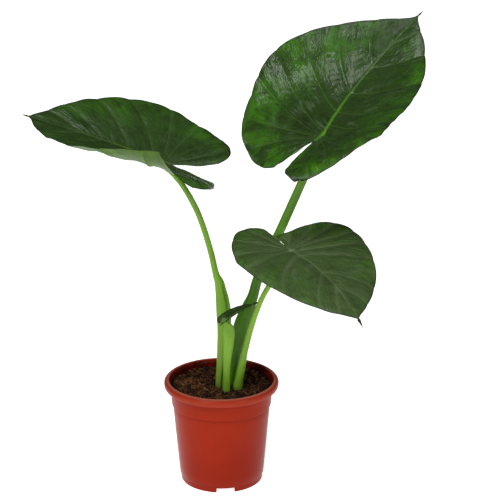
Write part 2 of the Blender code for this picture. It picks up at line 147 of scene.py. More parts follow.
# A stalk's foot from the crown, in girths, and its stations: share of the height, shares of the way to the
# blade along X and Y, then push aside, half width and half depth in girths.
STALKS = {
    "left_leaf": dict(foot=(-1.4, 0.2), stations=(
        (0.0, 0.0, 0.0, 0.1, 0.62, 0.6), (0.12, 0.0, 0.04, 0.42, 0.7, 0.6),
        (0.25, 0.0, 0.12, 0.8, 0.96, 0.56), (0.34, 0.0, 0.18, 0.78, 1.06, 0.52),
        (0.4, 0.0, 0.24, 0.58, 0.96, 0.5), (0.44, 0.0, 0.28, 0.37, 0.81, 0.48),
        (0.475, 0.015, 0.32, 0.28, 0.7, 0.47), (0.505, 0.03, 0.36, 0.0, 0.54, 0.46),
        (0.54, 0.065, 0.4, 0.0, 0.48, 0.46), (0.61, 0.13, 0.5, 0.0, 0.46, 0.45),
        (0.72, 0.264, 0.62, 0.0, 0.45, 0.45), (0.81, 0.413, 0.72, 0.0, 0.44, 0.44),
        (0.91, 0.66, 0.86, 0.0, 0.43, 0.43), (1.0, 1.0, 1.0, 0.0, 0.42, 0.42),
    )),
    "upper_right_leaf": dict(foot=(0.75, 1.3), stations=(
        (0.0, 0.0, 0.0, 0.0, 0.62, 0.55), (0.07, 0.012, 0.02, -0.1, 0.76, 0.56),
        (0.13, 0.037, 0.05, -0.2, 0.92, 0.57), (0.184, 0.087, 0.08, -0.25, 1.04, 0.58),
        (0.24, 0.105, 0.13, -0.1, 1.2, 0.58), (0.28, 0.132, 0.16, 0.0, 1.12, 0.57),
        (0.32, 0.174, 0.2, 0.0, 0.98, 0.56), (0.364, 0.22, 0.27, 0.0, 0.82, 0.55),
        (0.43, 0.272, 0.37, 0.0, 0.76, 0.55), (0.52, 0.381, 0.48, 0.0, 0.72, 0.55),
        (0.61, 0.504, 0.58, 0.0, 0.7, 0.54), (0.7, 0.617, 0.67, 0.0, 0.68, 0.54),
        (0.9, 0.866, 0.87, 0.0, 0.64, 0.52), (1.0, 1.0, 1.0, 0.0, 0.6, 0.5),
    )),
    "lower_right_leaf": dict(foot=(1.28, -0.3), stations=(
        (0.0, 0.0, 0.0, 0.0, 0.86, 0.66), (0.1, 0.057, 0.02, 0.0, 0.68, 0.62),
        (0.2, 0.114, 0.06, 0.0, 0.56, 0.58), (0.28, 0.16, 0.12, 0.0, 0.47, 0.52),
        (0.43, 0.258, 0.26, 0.0, 0.45, 0.46), (0.58, 0.388, 0.42, 0.0, 0.39, 0.42),
        (0.67, 0.485, 0.53, 0.0, 0.4, 0.4), (0.75, 0.6, 0.64, 0.0, 0.39, 0.4),
        (0.9, 0.83, 0.86, 0.0, 0.38, 0.38), (1.0, 1.0, 1.0, 0.0, 0.37, 0.37),
    )),
    "small_leaf": dict(foot=(-0.51, -1.5), stations=(
        (0.0, 0.0, 0.0, 0.25, 0.58, 0.32), (0.2, 0.0, 0.0, 0.32, 0.54, 0.32),
        (0.33, 0.0, 0.0, 0.34, 0.56, 0.33), (0.45, 0.0, 0.0, 0.4, 0.62, 0.36),
        (0.57, 0.0, 0.02, 0.52, 0.7, 0.38), (0.69, 0.0, 0.04, 0.62, 0.78, 0.38),
        (0.81, 0.0, 0.08, 0.7, 0.82, 0.36), (0.9, 0.0, 0.16, 0.62, 0.72, 0.32),
        (0.95, 0.3, 0.5, 0.3, 0.42, 0.26), (1.0, 1.0, 1.0, 0.0, 0.2, 0.18),
    )),
}

# Where a half's main veins leave the midrib, in blade lengths from the stalk, and reach the margin, as a
# share of the margin from the tip. None is a vein that starts at the stalk.
VEINS = {
    "left_leaf": dict(
        left=(
            (0.62, 0.09), (0.45, 0.15), (0.25, 0.25), (0.06, 0.355), (None, 0.48), (None, 0.6),
            (None, 0.7), (None, 0.78), (None, 0.86),
        ),
        right=(
            (0.62, 0.08), (0.45, 0.14), (0.25, 0.25), (0.06, 0.356), (None, 0.488), (None, 0.6),
            (None, 0.7), (None, 0.78), (None, 0.86),
        ),
    ),
    "upper_right_leaf": dict(
        left=(
            (0.8, 0.05), (0.615, 0.105), (0.38, 0.195), (0.205, 0.3), (0.02, 0.4), (None, 0.5),
            (None, 0.605), (None, 0.7), (None, 0.78), (None, 0.86),
        ),
        right=(
            (0.8, 0.06), (0.6, 0.14), (0.38, 0.25), (0.21, 0.355), (0.09, 0.45), (None, 0.54),
            (None, 0.62), (None, 0.7), (None, 0.78), (None, 0.86),
        ),
    ),
    "lower_right_leaf": dict(
        left=(
            (0.62, 0.11), (0.42, 0.215), (0.12, 0.385), (0.04, 0.49), (None, 0.57), (None, 0.66),
            (None, 0.75), (None, 0.85),
        ),
        right=(
            (0.62, 0.08), (0.42, 0.15), (0.1, 0.285), (0.0, 0.45), (None, 0.56), (None, 0.68),
            (None, 0.78), (None, 0.88),
        ),
    ),
    "small_leaf": dict(
        left=(
            (0.7, 0.15), (0.45, 0.3), (0.2, 0.45), (None, 0.65),
        ),
        right=(
            (0.7, 0.15), (0.45, 0.3), (0.2, 0.45), (None, 0.65),
        ),
    ),
}
# How strong each blade's relief and how thick its midrib is, against the largest leaf.
RELIEF = {"left_leaf": 1.0, "upper_right_leaf": 1.15, "lower_right_leaf": 0.75, "small_leaf": 0.8}
RIB = {"left_leaf": 0.55, "upper_right_leaf": 1.0, "lower_right_leaf": 0.45, "small_leaf": 0.7}
FAN_START = 0.40  # share of a blade's rows, from the tip, that start on the midrib before the stalk


# ---------------------------------------------------------------- helpers

def smooth_points(points, steps):
    """Catmull-Rom points through all the given ones, with so many steps between two of them."""
    given = np.array(points, float)
    ends = np.vstack([2 * given[0] - given[1], given, 2 * given[-1] - given[-2]])
    found = []
    for i in range(len(given) - 1):
        before, start, end, after = ends[i : i + 4]
        for step in range(steps):
            t = step / steps
            found.append(
                0.5 * (2 * start + (end - before) * t
                       + (2 * before - 5 * start + 4 * end - after) * t**2
                       + (3 * start - before - 3 * end + after) * t**3)
            )
    found.append(given[-1])
    return np.array(found)


def smoothstep(low, high, values):
    t = np.clip((values - low) / (high - low), 0.0, 1.0)
    return t * t * (3 - 2 * t)


class Waves:
    """Smooth seeded noise in any number of dimensions, from about -1 to 1: a sum of sines."""

    def __init__(self, seed, scales, count=9):
        rng = np.random.default_rng(seed)
        self.ways = rng.normal(size=(count, len(scales))) / np.array(scales) * 2.6
        self.phases = rng.uniform(0, 2 * math.pi, count)
        self.loud = rng.uniform(0.6, 1.0, count)

    def __call__(self, *coordinates):
        places = np.stack(np.broadcast_arrays(*coordinates), -1)
        angle = places @ self.ways.T + self.phases
        return (np.sin(angle) * self.loud).sum(-1) / (self.loud.sum() * 0.5)


def new_object(name, data):
    made = bpy.data.objects.new(name, data)
    bpy.context.scene.collection.objects.link(made)
    return made


def new_mesh_object(name, points, faces, materials, material_index=None, smooth=True):
    mesh = bpy.data.meshes.new(name)
    mesh.from_pydata([tuple(p) for p in points], [], faces)
    for surface in materials:
        mesh.materials.append(surface)
    if material_index is not None:
        mesh.polygons.foreach_set("material_index", np.array(material_index, np.int32))
    mesh.polygons.foreach_set("use_smooth", np.full(len(mesh.polygons), smooth))
    mesh.update()
    return new_object(name, mesh)


def add_values(mesh, name, values):
    """A number for each vertex, which a material can read by its name."""
    attribute = mesh.attributes.new(name, "FLOAT", "POINT")
    attribute.data.foreach_set("value", np.asarray(values, np.float32))


def face_out(mesh):
    bm = bmesh.new()
    bm.from_mesh(mesh)
    bmesh.ops.recalc_face_normals(bm, faces=bm.faces)
    bm.to_mesh(mesh)
    bm.free()


# ---------------------------------------------------------------- material building

class Paint:
    """One material and the nodes that feed its shader."""

    def __init__(self, name):
        self.made = bpy.data.materials.new(name)
        self.made.use_nodes = True
        self.nodes = self.made.node_tree.nodes
        self.links = self.made.node_tree.links
        self.shader = self.nodes["Principled BSDF"]

    def plug(self, socket, value):
        """Links a value into a socket, or sets the socket to it."""
        if isinstance(value, (int, float)):
            socket.default_value = value
        elif isinstance(value, tuple):
            socket.default_value = (*value, 1.0)
        else:
            self.links.new(value, socket)

    def set(self, **values):
        for name, value in values.items():
            self.plug(self.shader.inputs[name.replace("_", " ")], value)

    def value(self, name):
        node = self.nodes.new("ShaderNodeAttribute")
        node.attribute_name = name
        return node.outputs["Fac"]

    def maths(self, kind, *values, clamp=False):
        node = self.nodes.new("ShaderNodeMath")
        node.operation = kind
        node.use_clamp = clamp
        for socket, value in zip(node.inputs, values):
            self.plug(socket, value)
        return node.outputs[0]

    def times(self, first, second, clamp=False):
        return self.maths("MULTIPLY", first, second, clamp=clamp)

    def remap(self, value, low, high, to_low=0.0, to_high=1.0):
        node = self.nodes.new("ShaderNodeMapRange")
        node.interpolation_type = "SMOOTHSTEP"
        for socket, number in zip(node.inputs, (value, low, high, to_low, to_high)):
            self.plug(socket, number)
        return node.outputs["Result"]

    def mix(self, share, first, second):
        node = self.nodes.new("ShaderNodeMix")
        node.data_type = "RGBA"
        colours = [socket for socket in node.inputs if socket.type == "RGBA"]
        for socket, value in zip((node.inputs[0], *colours), (share, first, second)):
            self.plug(socket, value)
        return [socket for socket in node.outputs if socket.type == "RGBA"][0]

    def combine(self, x, y):
        node = self.nodes.new("ShaderNodeCombineXYZ")
        self.plug(node.inputs[0], x)
        self.plug(node.inputs[1], y)
        return node.outputs[0]

    def place(self):
        return self.nodes.new("ShaderNodeTexCoord").outputs["Object"]

    def noise(self, vector, scale, detail=2.0, roughness=0.5, distortion=0.0):
        node = self.nodes.new("ShaderNodeTexNoise")
        self.links.new(vector, node.inputs["Vector"])
        settings = {"Scale": scale, "Detail": detail, "Roughness": roughness, "Distortion": distortion}
        for name, value in settings.items():
            node.inputs[name].default_value = value
        return node.outputs["Fac"]

    def streaks(self, vector, scale, detail, roughness=0.5, distortion=0.0):
        """Noise stretched by its own scale along each axis."""
        node = self.nodes.new("ShaderNodeMapping")
        self.links.new(vector, node.inputs["Vector"])
        node.inputs["Scale"].default_value = scale
        return self.noise(node.outputs["Vector"], 1.0, detail, roughness, distortion)

    def bump(self, height, strength, distance):
        node = self.nodes.new("ShaderNodeBump")
        node.inputs["Strength"].default_value = strength
        node.inputs["Distance"].default_value = distance
        self.links.new(height, node.inputs["Height"])
        self.links.new(node.outputs["Normal"], self.shader.inputs["Normal"])


def blade_top_material(name, dark, bright, vein, rib, glow, roughness, halo, gloss, glint_strength):
    """Waxy upper face: streaks along the veins, painted light by the margin, painted glints, pale veins and a
    dark edge.
    """
    paint = Paint(name)
    flow = paint.combine(paint.value("run"), paint.value("lane"))
    # streaks that follow the veins from the midrib outward
    streaks = paint.streaks(flow, (14.0, 120.0, 1.0), 4.0, 0.6, 0.5)
    patches = paint.noise(paint.place(), 22.0, 3.0, 0.55, 0.4)
    # painted light: brighter toward the margin, in patches and streaks, as if lit through from behind
    margin_light = paint.remap(paint.value("outward"), 0.30, 0.98)
    lit = paint.maths("MULTIPLY_ADD", margin_light, 0.62 * glow, 0.10)
    lit = paint.times(lit, paint.remap(patches, 0.38, 0.64, 0.15, 1.5))
    lit = paint.times(lit, paint.remap(streaks, 0.30, 0.70, 0.35, 1.55), clamp=True)
    colour = paint.mix(lit, dark, bright)
    # a duller, browner green in other streaks
    dull = paint.streaks(flow, (9.0, 160.0, 1.0), 3.0, 0.5, 0.3)
    brown = (1.25 * dark[0], 0.85 * dark[1], dark[2])
    colour = paint.mix(paint.remap(dull, 0.48, 0.72, 0.0, 0.45), colour, brown)
    grain = paint.noise(paint.place(), 420.0, 4.0, 0.6)
    colour = paint.mix(paint.remap(grain, 0.3, 0.7, 0.0, 0.22), colour, tuple(0.5 * c for c in dark))
    mottle = paint.noise(paint.place(), 46.0, 5.0, 0.62, 0.6)
    deep = tuple(0.55 * c for c in dark)
    colour = paint.mix(paint.remap(mottle, 0.50, 0.66, 0.0, 0.60), colour, deep)
    light = (1.5 * dark[0], 1.35 * dark[1], 1.5 * dark[2])
    colour = paint.mix(paint.remap(mottle, 0.46, 0.32, 0.0, 0.60), colour, light)
    # painted glints: paler grey-green streaks, in patches between the stalk and the margin, standing in for
    # highlights
    glint_streaks = paint.streaks(flow, (34.0, 210.0, 1.0), 4.0, 0.65, 0.8)
    glint_patches = paint.noise(paint.place(), 30.0, 2.0, 0.5)
    glint_share = paint.times(paint.remap(glint_streaks, 0.50, 0.70), paint.remap(glint_patches, 0.44, 0.60))
    glint_share = paint.times(glint_share, paint.remap(paint.value("from_stalk"), 0.150, 0.060, 0.25, 1.0))
    colour = paint.mix(paint.times(glint_share, glint_strength), colour, (0.165, 0.225, 0.150))
    # pale bands beside the veins, side veins, then the veins themselves
    gap = paint.value("vein_gap")
    soft = paint.times(paint.remap(gap, 0.0, 0.0065, halo, 0.0), paint.remap(streaks, 0.32, 0.68, 0.05, 1.5))
    colour = paint.mix(soft, colour, vein)
    colour = paint.mix(paint.times(paint.value("side_vein"), 0.10), colour, vein)
    line = paint.maths("DIVIDE", gap, paint.value("vein_width"))
    colour = paint.mix(paint.remap(line, 0.35, 1.15, 0.50, 0.0), colour, vein)
    rib_line = paint.maths("DIVIDE", paint.value("rib_gap"), paint.value("rib_width"))
    from_stalk = paint.value("from_stalk")
    rib_colour = paint.mix(paint.remap(from_stalk, 0.035, 0.120), rib, vein)
    colour = paint.mix(paint.remap(rib_line, 0.60, 1.15, 0.92, 0.0), colour, rib_colour)
    heart = tuple(min(1.0, 1.6 * c) for c in rib)
    colour = paint.mix(paint.remap(from_stalk, 0.0015, 0.0075, 0.75, 0.0), colour, heart)
    edge = paint.remap(paint.value("margin_gap"), 0.0004, 0.0026, 0.85, 0.0)
    colour = paint.mix(edge, colour, (0.008, 0.014, 0.005))
    paint.set(Base_Color=colour)
    rough = paint.remap(patches, 0.3, 0.7, roughness - 0.05, roughness + 0.12)
    paint.set(Roughness=rough)
    paint.set(Specular_IOR_Level=gloss)
    fine = paint.streaks(flow, (90.0, 420.0, 1.0), 3.0, 0.6)
    crinkle = paint.streaks(flow, (60.0, 190.0, 1.0), 2.0, 0.5, 0.6)
    height = paint.maths("ADD", fine, paint.times(crinkle, 2.2))
    paint.bump(paint.maths("ADD", height, paint.times(grain, 0.3)), 0.6, 0.0013)
    return paint.made


def blade_under_material(name, base, pale, vein):
    """Matt underside, paler than the top, with raised pale veins."""
    paint = Paint(name)
    flow = paint.combine(paint.value("run"), paint.value("lane"))
    streaks = paint.streaks(flow, (16.0, 130.0, 1.0), 3.0, 0.55)
    patches = paint.noise(paint.place(), 30.0, 3.0, 0.5)
    share = paint.times(paint.remap(streaks, 0.3, 0.7, 0.2, 1.0), paint.remap(patches, 0.3, 0.7, 0.4, 1.1))
    colour = paint.mix(share, base, pale)
    side = paint.value("side_vein")
    colour = paint.mix(paint.times(side, 0.30), colour, vein)
    line = paint.maths("DIVIDE", paint.value("vein_gap"), paint.value("vein_width"))
    colour = paint.mix(paint.remap(line, 0.8, 2.2, 0.8, 0.0), colour, vein)
    rib = paint.maths("DIVIDE", paint.value("rib_gap"), paint.value("rib_width"))
    colour = paint.mix(paint.remap(rib, 0.8, 1.3, 0.95, 0.0), colour, vein)
    edge = paint.remap(paint.value("margin_gap"), 0.0003, 0.0016, 0.7, 0.0)
    colour = paint.mix(edge, colour, (0.014, 0.026, 0.010))
    paint.set(Base_Color=colour)
    paint.set(Roughness=0.50, Specular_IOR_Level=0.18)
    fine = paint.noise(paint.place(), 500.0, 4.0, 0.6)
    paint.bump(fine, 0.3, 0.0005)
    return paint.made


def blade_edge_material(name):
    paint = Paint(name)
    grain = paint.noise(paint.place(), 120.0, 3.0)
    colour = paint.mix(paint.remap(grain, 0.3, 0.7), (0.012, 0.018, 0.008), (0.030, 0.040, 0.014))
    paint.set(Base_Color=colour)
    paint.set(Roughness=0.55, Specular_IOR_Level=0.10)
    return paint.made


def stalk_material(name, low, middle, top, groove):
    """Fleshy stalk: fibres along it, paler at the foot, greener higher up, with painted shade inside its
    grooves.
    """
    paint = Paint(name)
    along = paint.value("along")
    around = paint.value("around")
    flow = paint.combine(along, around)
    fibres = paint.streaks(flow, (3.0, 26.0, 1.0), 4.0, 0.6)
    threads = paint.streaks(flow, (6.0, 90.0, 1.0), 3.0, 0.6)
    patches = paint.noise(paint.place(), 22.0, 3.0, 0.5)
    colour = paint.mix(paint.remap(along, 0.02, 0.35), low, middle)
    colour = paint.mix(paint.remap(along, 0.45, 0.95), colour, top)
    darker = paint.times(paint.remap(fibres, 0.35, 0.7), 0.35)
    colour = paint.mix(darker, colour, tuple(0.55 * c for c in middle))
    lighter = paint.times(paint.remap(patches, 0.45, 0.75), 0.25)
    colour = paint.mix(lighter, colour, tuple(min(1.0, 1.35 * c) for c in low))
    # painted shade inside the grooves
    colour = paint.mix(paint.value("groove"), colour, groove)
    # soil stains at the foot
    stain = paint.times(paint.remap(along, 0.0, 0.030, 1.0, 0.0), paint.remap(threads, 0.3, 0.62))
    colour = paint.mix(paint.times(stain, 0.75), colour, (0.070, 0.045, 0.016))
    paint.set(Base_Color=colour)
    paint.set(Roughness=paint.remap(patches, 0.3, 0.7, 0.30, 0.42), Specular_IOR_Level=0.22)
    paint.bump(paint.maths("ADD", fibres, paint.times(threads, 0.5)), 0.25, 0.0008)
    return paint.made


def pot_material():
    """Moulded terracotta-coloured plastic: satin, with faint flow marks and dust, a painted highlight on the
    rim's edge and painted shade in its crevices, inside it and toward the foot.
    """
    paint = Paint("terracotta_plastic")
    place = paint.place()
    cloud = paint.noise(place, 9.0, 3.0, 0.5)
    flow = paint.streaks(place, (60.0, 60.0, 5.0), 3.0, 0.5)
    colour = paint.mix(paint.remap(cloud, 0.35, 0.65), (0.285, 0.0165, 0.0020), (0.252, 0.0135, 0.0014))
    colour = paint.mix(paint.remap(flow, 0.45, 0.75, 0.0, 0.20), colour, (0.280, 0.016, 0.002))
    axes = paint.nodes.new("ShaderNodeSeparateXYZ")
    paint.plug(axes.inputs[0], place)
    # painted shade: darker and redder toward the foot
    colour = paint.mix(paint.remap(axes.outputs[2], 0.0, 0.125, 0.35, 0.0), colour, (0.180, 0.0055, 0.0003))
    dust = paint.noise(place, 150.0, 5.0, 0.7)
    dusty = paint.times(paint.remap(dust, 0.62, 0.80), 0.10)
    colour = paint.mix(dusty, colour, (0.33, 0.06, 0.03))
    # painted highlight: a pale line along the rim's upper edge
    highlight_share = paint.value("rim_highlight")
    colour = paint.mix(paint.times(highlight_share, 0.75), colour, (0.45, 0.150, 0.105))
    # painted shade in the crevices under the rim and at the collar's and the foot's steps
    colour = paint.mix(paint.times(paint.value("crevice_shade"), 0.8), colour, (0.10, 0.006, 0.002))
    # painted shade inside the pot, in patches
    inside_shade = paint.times(paint.value("inside"), paint.remap(dust, 0.40, 0.62, 0.55, 0.95))
    colour = paint.mix(inside_shade, colour, (0.045, 0.004, 0.0015))
    paint.set(Base_Color=colour)
    rough = paint.maths("ADD", paint.remap(cloud, 0.3, 0.7, 0.27, 0.36), paint.times(dusty, 1.2))
    paint.set(Roughness=rough)
    paint.set(Specular_IOR_Level=0.08)
    fine = paint.noise(place, 700.0, 2.0, 0.5)
    height = paint.maths("ADD", paint.times(flow, 0.6), paint.times(fine, 0.12))
    paint.bump(height, 0.18, 0.0010)
    return paint.made


def soil_material():
    paint = Paint("peat_soil")
    place = paint.place()
    lumps = paint.noise(place, 120.0, 6.0, 0.7)
    specks = paint.nodes.new("ShaderNodeTexVoronoi")
    paint.plug(specks.inputs["Vector"], place)
    specks.inputs["Scale"].default_value = 620.0
    colour = paint.mix(paint.remap(lumps, 0.3, 0.7), (0.010, 0.005, 0.002), (0.040, 0.016, 0.007))
    light = paint.maths("LESS_THAN", specks.outputs["Distance"], 0.22)
    odd = paint.noise(place, 260.0, 2.0)
    colour = paint.mix(paint.times(light, paint.remap(odd, 0.55, 0.7, 0.0, 0.5)), colour,
                        (0.20, 0.11, 0.055))
    paint.set(Base_Color=colour)
    paint.set(Roughness=0.95, Specular_IOR_Level=0.06)
    paint.bump(paint.noise(place, 900.0, 6.0, 0.75), 0.8, 0.0015)
    return paint.made


def bit_material(name, colours):
    """For crumbs, fibres and chips: each bit has its own shade, from the vertex value "shade"."""
    paint = Paint(name)
    place = paint.place()
    ramp = paint.nodes.new("ShaderNodeValToRGB")
    while len(ramp.color_ramp.elements) < len(colours):
        ramp.color_ramp.elements.new(0.5)
    for i, (element, colour) in enumerate(zip(ramp.color_ramp.elements, colours)):
        element.position = i / (len(colours) - 1)
        element.color = (*colour, 1.0)
    paint.plug(ramp.inputs["Fac"], paint.value("shade"))
    grain = paint.noise(place, 800.0, 4.0, 0.65)
    colour = paint.mix(paint.remap(grain, 0.3, 0.7, 0.0, 0.55), ramp.outputs["Color"], (0.014, 0.008, 0.005))
    paint.set(Base_Color=colour)
    paint.set(Roughness=0.9, Specular_IOR_Level=0.10)
    paint.bump(grain, 0.6, 0.0008)
    return paint.made


# ---------------------------------------------------------------- blades

def half_outline(half):
    curve = smooth_points(OUTLINE, 40)
    x = curve[:, 0]
    spread = 1 + half["skew"] * (x - 0.2) + half["bulge"] * ((x - 0.25) ** 2 - 0.12)
    curve[:, 1] *= half["width"] * spread
    curve[:, 0] = np.where(x < SINUS_X, SINUS_X + (x - SINUS_X) * half["lobe"], x)
    lobe_tip = curve[:, 0].argmin()
    inward = np.clip(3 * (np.arange(len(curve)) - lobe_tip) / (len(curve) - 1 - lobe_tip), 0, 1)
    curve[:, 1] *= 1 + (half["sinus"] - 1) * inward**2 * (3 - 2 * inward)
    along = np.concatenate([[0], np.cumsum(np.linalg.norm(np.diff(curve, axis=0), axis=1))])
    return curve, along / along[-1]


def row_of_vein(start, share):
    """The place of a vein among the blade's rows, from 0 at the tip to 1 at the bottom of the sinus."""
    if start is None:
        return max(share, FAN_START + 0.02)
    return FAN_START * (1 - start / TIP_X)


def start_of_row(row):
    """Where a row starts on the midrib, in blade lengths from the stalk."""
    beyond = SINUS_X * (row - FAN_START) / (1 - FAN_START)
    return np.where(row < FAN_START, TIP_X * (1 - row / FAN_START), beyond)


def flat_places(outline, along, rows, shares, across):
    """The flat half blade's places: one line of them for each row, from the midrib out to the margin."""
    margin = np.stack([np.interp(shares, along, outline[:, 0]), np.interp(shares, along, outline[:, 1])], -1)
    start = np.stack([start_of_row(rows), 0 * rows], -1)
    bend = np.stack([start[:, 0] + 0.35 * (margin[:, 0] - start[:, 0]), 0.6 * margin[:, 1]], -1)
    u = across[None, :, None]
    return (1 - u) ** 2 * start[:, None] + 2 * u * (1 - u) * bend[:, None] + u**2 * margin[:, None]


def half_width_at(outline, x):
    outer = outline[: outline[:, 0].argmin() + 1][::-1]
    return np.interp(x, outer[:, 0], outer[:, 1])


def bent_places(leaf, half, side, outline, flat):
    """The flat places folded along the midrib, bowed, curled and twisted, in blade lengths."""
    x, y = flat[..., 0], flat[..., 1]
    whole = np.maximum(np.maximum(half_width_at(outline, x), y), 1e-6)
    s = y[..., None] * (np.arange(BEND_STEPS) + 0.5) / BEND_STEPS
    ease = 1 - np.exp(-((s / FOLD_SOFTNESS) ** 2))
    on_lobe = np.clip((LOBE_CURL_START - x) / LOBE_CURL_REACH, 0.0, 1.0) ** LOBE_CURL_POWER
    curl = half["curl"] + half["curl_change"] * x + half["lobe_curl"] * on_lobe
    fold = half["fold"] + half["fold_change"] * x
    curled = curl[..., None] * (s / whole[..., None]) ** CURL_POWER
    angle = np.radians(fold[..., None] * ease + half["bow"] * s + curled)
    out = side * y * np.cos(angle).mean(-1)
    up = y * np.sin(angle).mean(-1)
    twist = np.radians(leaf["twist"]) * x
    out, up = out * np.cos(twist) - up * np.sin(twist), out * np.sin(twist) + up * np.cos(twist)
    out = out + leaf["sweep"] * 4 * np.maximum(x, 0.0) * (1 - x)
    curvature = np.radians(np.where(x > 0, -leaf["droop"], half["lobe_droop"]) + 1e-7)
    turn = curvature * x
    along = np.sin(turn) / curvature
    rise = (1 - np.cos(turn)) / curvature
    return np.stack([along - up * np.sin(turn), out, rise + up * np.cos(turn)], -1)


def leaf_matrix(leaf):
    heading, rise, roll = (math.radians(leaf[key]) for key in ("heading", "rise", "roll"))
    turn = Matrix.Rotation(heading, 4, "Z") @ Matrix.Rotation(-rise, 4, "Y") @ Matrix.Rotation(roll, 4, "X")
    x, y, z = leaf["stalk_end"]
    return Matrix.Translation((x, y, SOIL_LEVEL + z)) @ turn @ Matrix.Scale(leaf["length"], 4)


def moved(matrix, places):
    m = np.array(matrix)
    return places @ m[:3, :3].T + m[:3, 3]


def gap_to_line(places, line):
    """The distance from each place to a polyline, in the flat blade."""
    a, b = line[:-1], line[1:]
    ab = b - a
    best = np.full(places.shape[:-1], 1e9)
    for p, d in zip(a, ab):
        t = np.clip(((places - p) @ d) / max(d @ d, 1e-12), 0, 1)
        best = np.minimum(best, np.linalg.norm(places - p - t[..., None] * d, axis=-1))
    return best


def rows_between(knots, spacing):
    """Row numbers through all the knots, closer together next to each of them."""
    rows = [knots[0]]
    for low, high in zip(knots, knots[1:]):
        count = max(2, int(math.ceil((high - low) / spacing)))
        t = np.arange(1, count + 1) / count
        t = 0.55 * t + 0.45 * (0.5 - 0.5 * np.cos(math.pi * t))
        rows += list(low + (high - low) * t)
    return np.array(rows)


class Half:
    """One half of a blade: its flat grid, its bent grid and the numbers that its relief and colours need."""

    def __init__(self, name, leaf, key, rows, across):
        self.side = 1 if key == "left" else -1
        half = leaf[key]
        veins = VEINS[name][key]
        length = leaf["length"]
        outline, along = half_outline(half)
        knots = [(0.0, 0.0)] + [(row_of_vein(*vein), vein[1]) for vein in veins] + [(1.0, 1.0)]
        knot_rows = np.array([k[0] for k in knots])
        shares = np.interp(rows, knot_rows, [k[1] for k in knots])
        self.flat = flat_places(outline, along, rows, shares, across)
        lanes = np.searchsorted(knot_rows, rows, side="right") - 1
        lanes = np.clip(lanes, 0, len(knots) - 2)
        in_lane = (rows - knot_rows[lanes]) / np.maximum(knot_rows[lanes + 1] - knot_rows[lanes], 1e-9)
        scallop = np.sin(math.pi * np.clip(in_lane, 0, 1)) ** 0.8
        # the margin is a little pulled in where a main vein meets it
        ends = smoothstep(0.0, 0.06, shares) * smoothstep(1.0, 0.9, shares)
        pull = 0.007 * (scallop - 0.6) * ends
        self.flat *= 1 + pull[:, None, None] * across[None, :, None] ** 3
        steps = np.linalg.norm(np.diff(self.flat, axis=1), axis=-1)
        self.run = np.concatenate([np.zeros((len(rows), 1)), np.cumsum(steps, axis=1)], axis=1) * length
        self.across = np.broadcast_to(across[None, :], self.run.shape)
        self.vein_gap = np.full(self.run.shape, 1.0)
        self.vein_width = np.full(self.run.shape, 0.0005)
        fine = np.linspace(0, 1, 40)
        for vein in veins:
            row = row_of_vein(*vein)
            line = flat_places(outline, along, np.array([row]), np.array([vein[1]]), fine)[0]
            gap = gap_to_line(self.flat, line) * length
            nearer = gap < self.vein_gap
            self.vein_gap = np.minimum(self.vein_gap, gap)
            big = 1.0 if row > 0.3 else 0.45 + 0.55 * row / 0.3
            width = (0.00105 * (1 - self.across) ** 0.8 + 0.00022) * big * length / LARGE_BLADE
            self.vein_width = np.where(nearer, width, self.vein_width)
        self.rib_gap = np.where(self.flat[..., 0] > SINUS_X, self.flat[..., 1], 0.05) * length
        self.margin_gap = (1 - self.across) * self.run[:, -1:]
        self.outward = self.across * smoothstep(0.0, 0.15, shares)[:, None]
        lane = (lanes + np.clip(in_lane, 0, 1)) * 0.03 + self.side * 1.7
        self.lane = np.broadcast_to(lane[:, None], self.run.shape)
        self.lane_number = np.broadcast_to(lanes[:, None], self.run.shape)
        self.bent = bent_places(leaf, half, self.side, outline, self.flat)
        self.shares = shares


def add_relief(leaf_name, half, seed):
    """How far the upper face stands above the smooth blade, and how much of it is a side vein."""
    length = LEAVES[leaf_name]["length"]
    size = length / LARGE_BLADE
    gap, run, across = half.vein_gap, half.run, half.across
    near_stalk = smoothstep(0.0, 0.030 * size, run)
    to_margin = smoothstep(0.0, 0.012, half.margin_gap)
    groove = np.exp(-((gap / (0.0016 * size)) ** 2))
    pillow = 1 - np.exp(-((gap / (0.0075 * size)) ** 1.5))
    raised = 0.0021 * pillow * near_stalk * (0.35 + 0.65 * to_margin)
    main = (-0.00075 * groove * (1 - 0.6 * across) + raised) * size
    # side veins leave the main veins outward, with a cushion of blade between each two
    places = half.bent * length
    drift = Waves(seed + 5, (0.05, 0.05))(places[..., 0], places[..., 1])
    phase = (run - 0.85 * gap) / (0.0095 * size) + 0.41 * half.lane_number + 0.75 * drift
    wave = 0.5 - 0.5 * np.cos(2 * math.pi * phase)
    strength = 0.65 + 0.55 * Waves(seed + 3, (0.022, 0.022))(places[..., 0], places[..., 1])
    inside = smoothstep(0.0008, 0.0045, gap) * near_stalk * to_margin * (1 - 0.35 * across)
    inside = inside * np.clip(strength, 0.1, 1.2)
    cushion = 0.00060 * size * wave**0.45 * inside
    half.side_vein = np.clip(1 - wave / 0.10, 0, 1) * inside
    # slow unevenness along the blade, and a wavy margin
    slow = Waves(seed, (0.060, 0.030, 0.060))
    uneven = 0.0011 * size * slow(places[..., 0], run, half.side * places[..., 1]) * near_stalk
    ripple = Waves(seed + 11, (0.028, 0.05))(half.shares * 0.55 * size, half.side * 0.1 + 0 * half.shares)
    wavy = 0.0013 * size * ripple[:, None] * across**4 * smoothstep(0.0, 0.06, half.shares)[:, None]
    relief = main + cushion + uneven + wavy
    relief *= smoothstep(0.0, 0.004, half.rib_gap) * 0.85 + 0.15
    half.relief = relief * RELIEF[leaf_name]


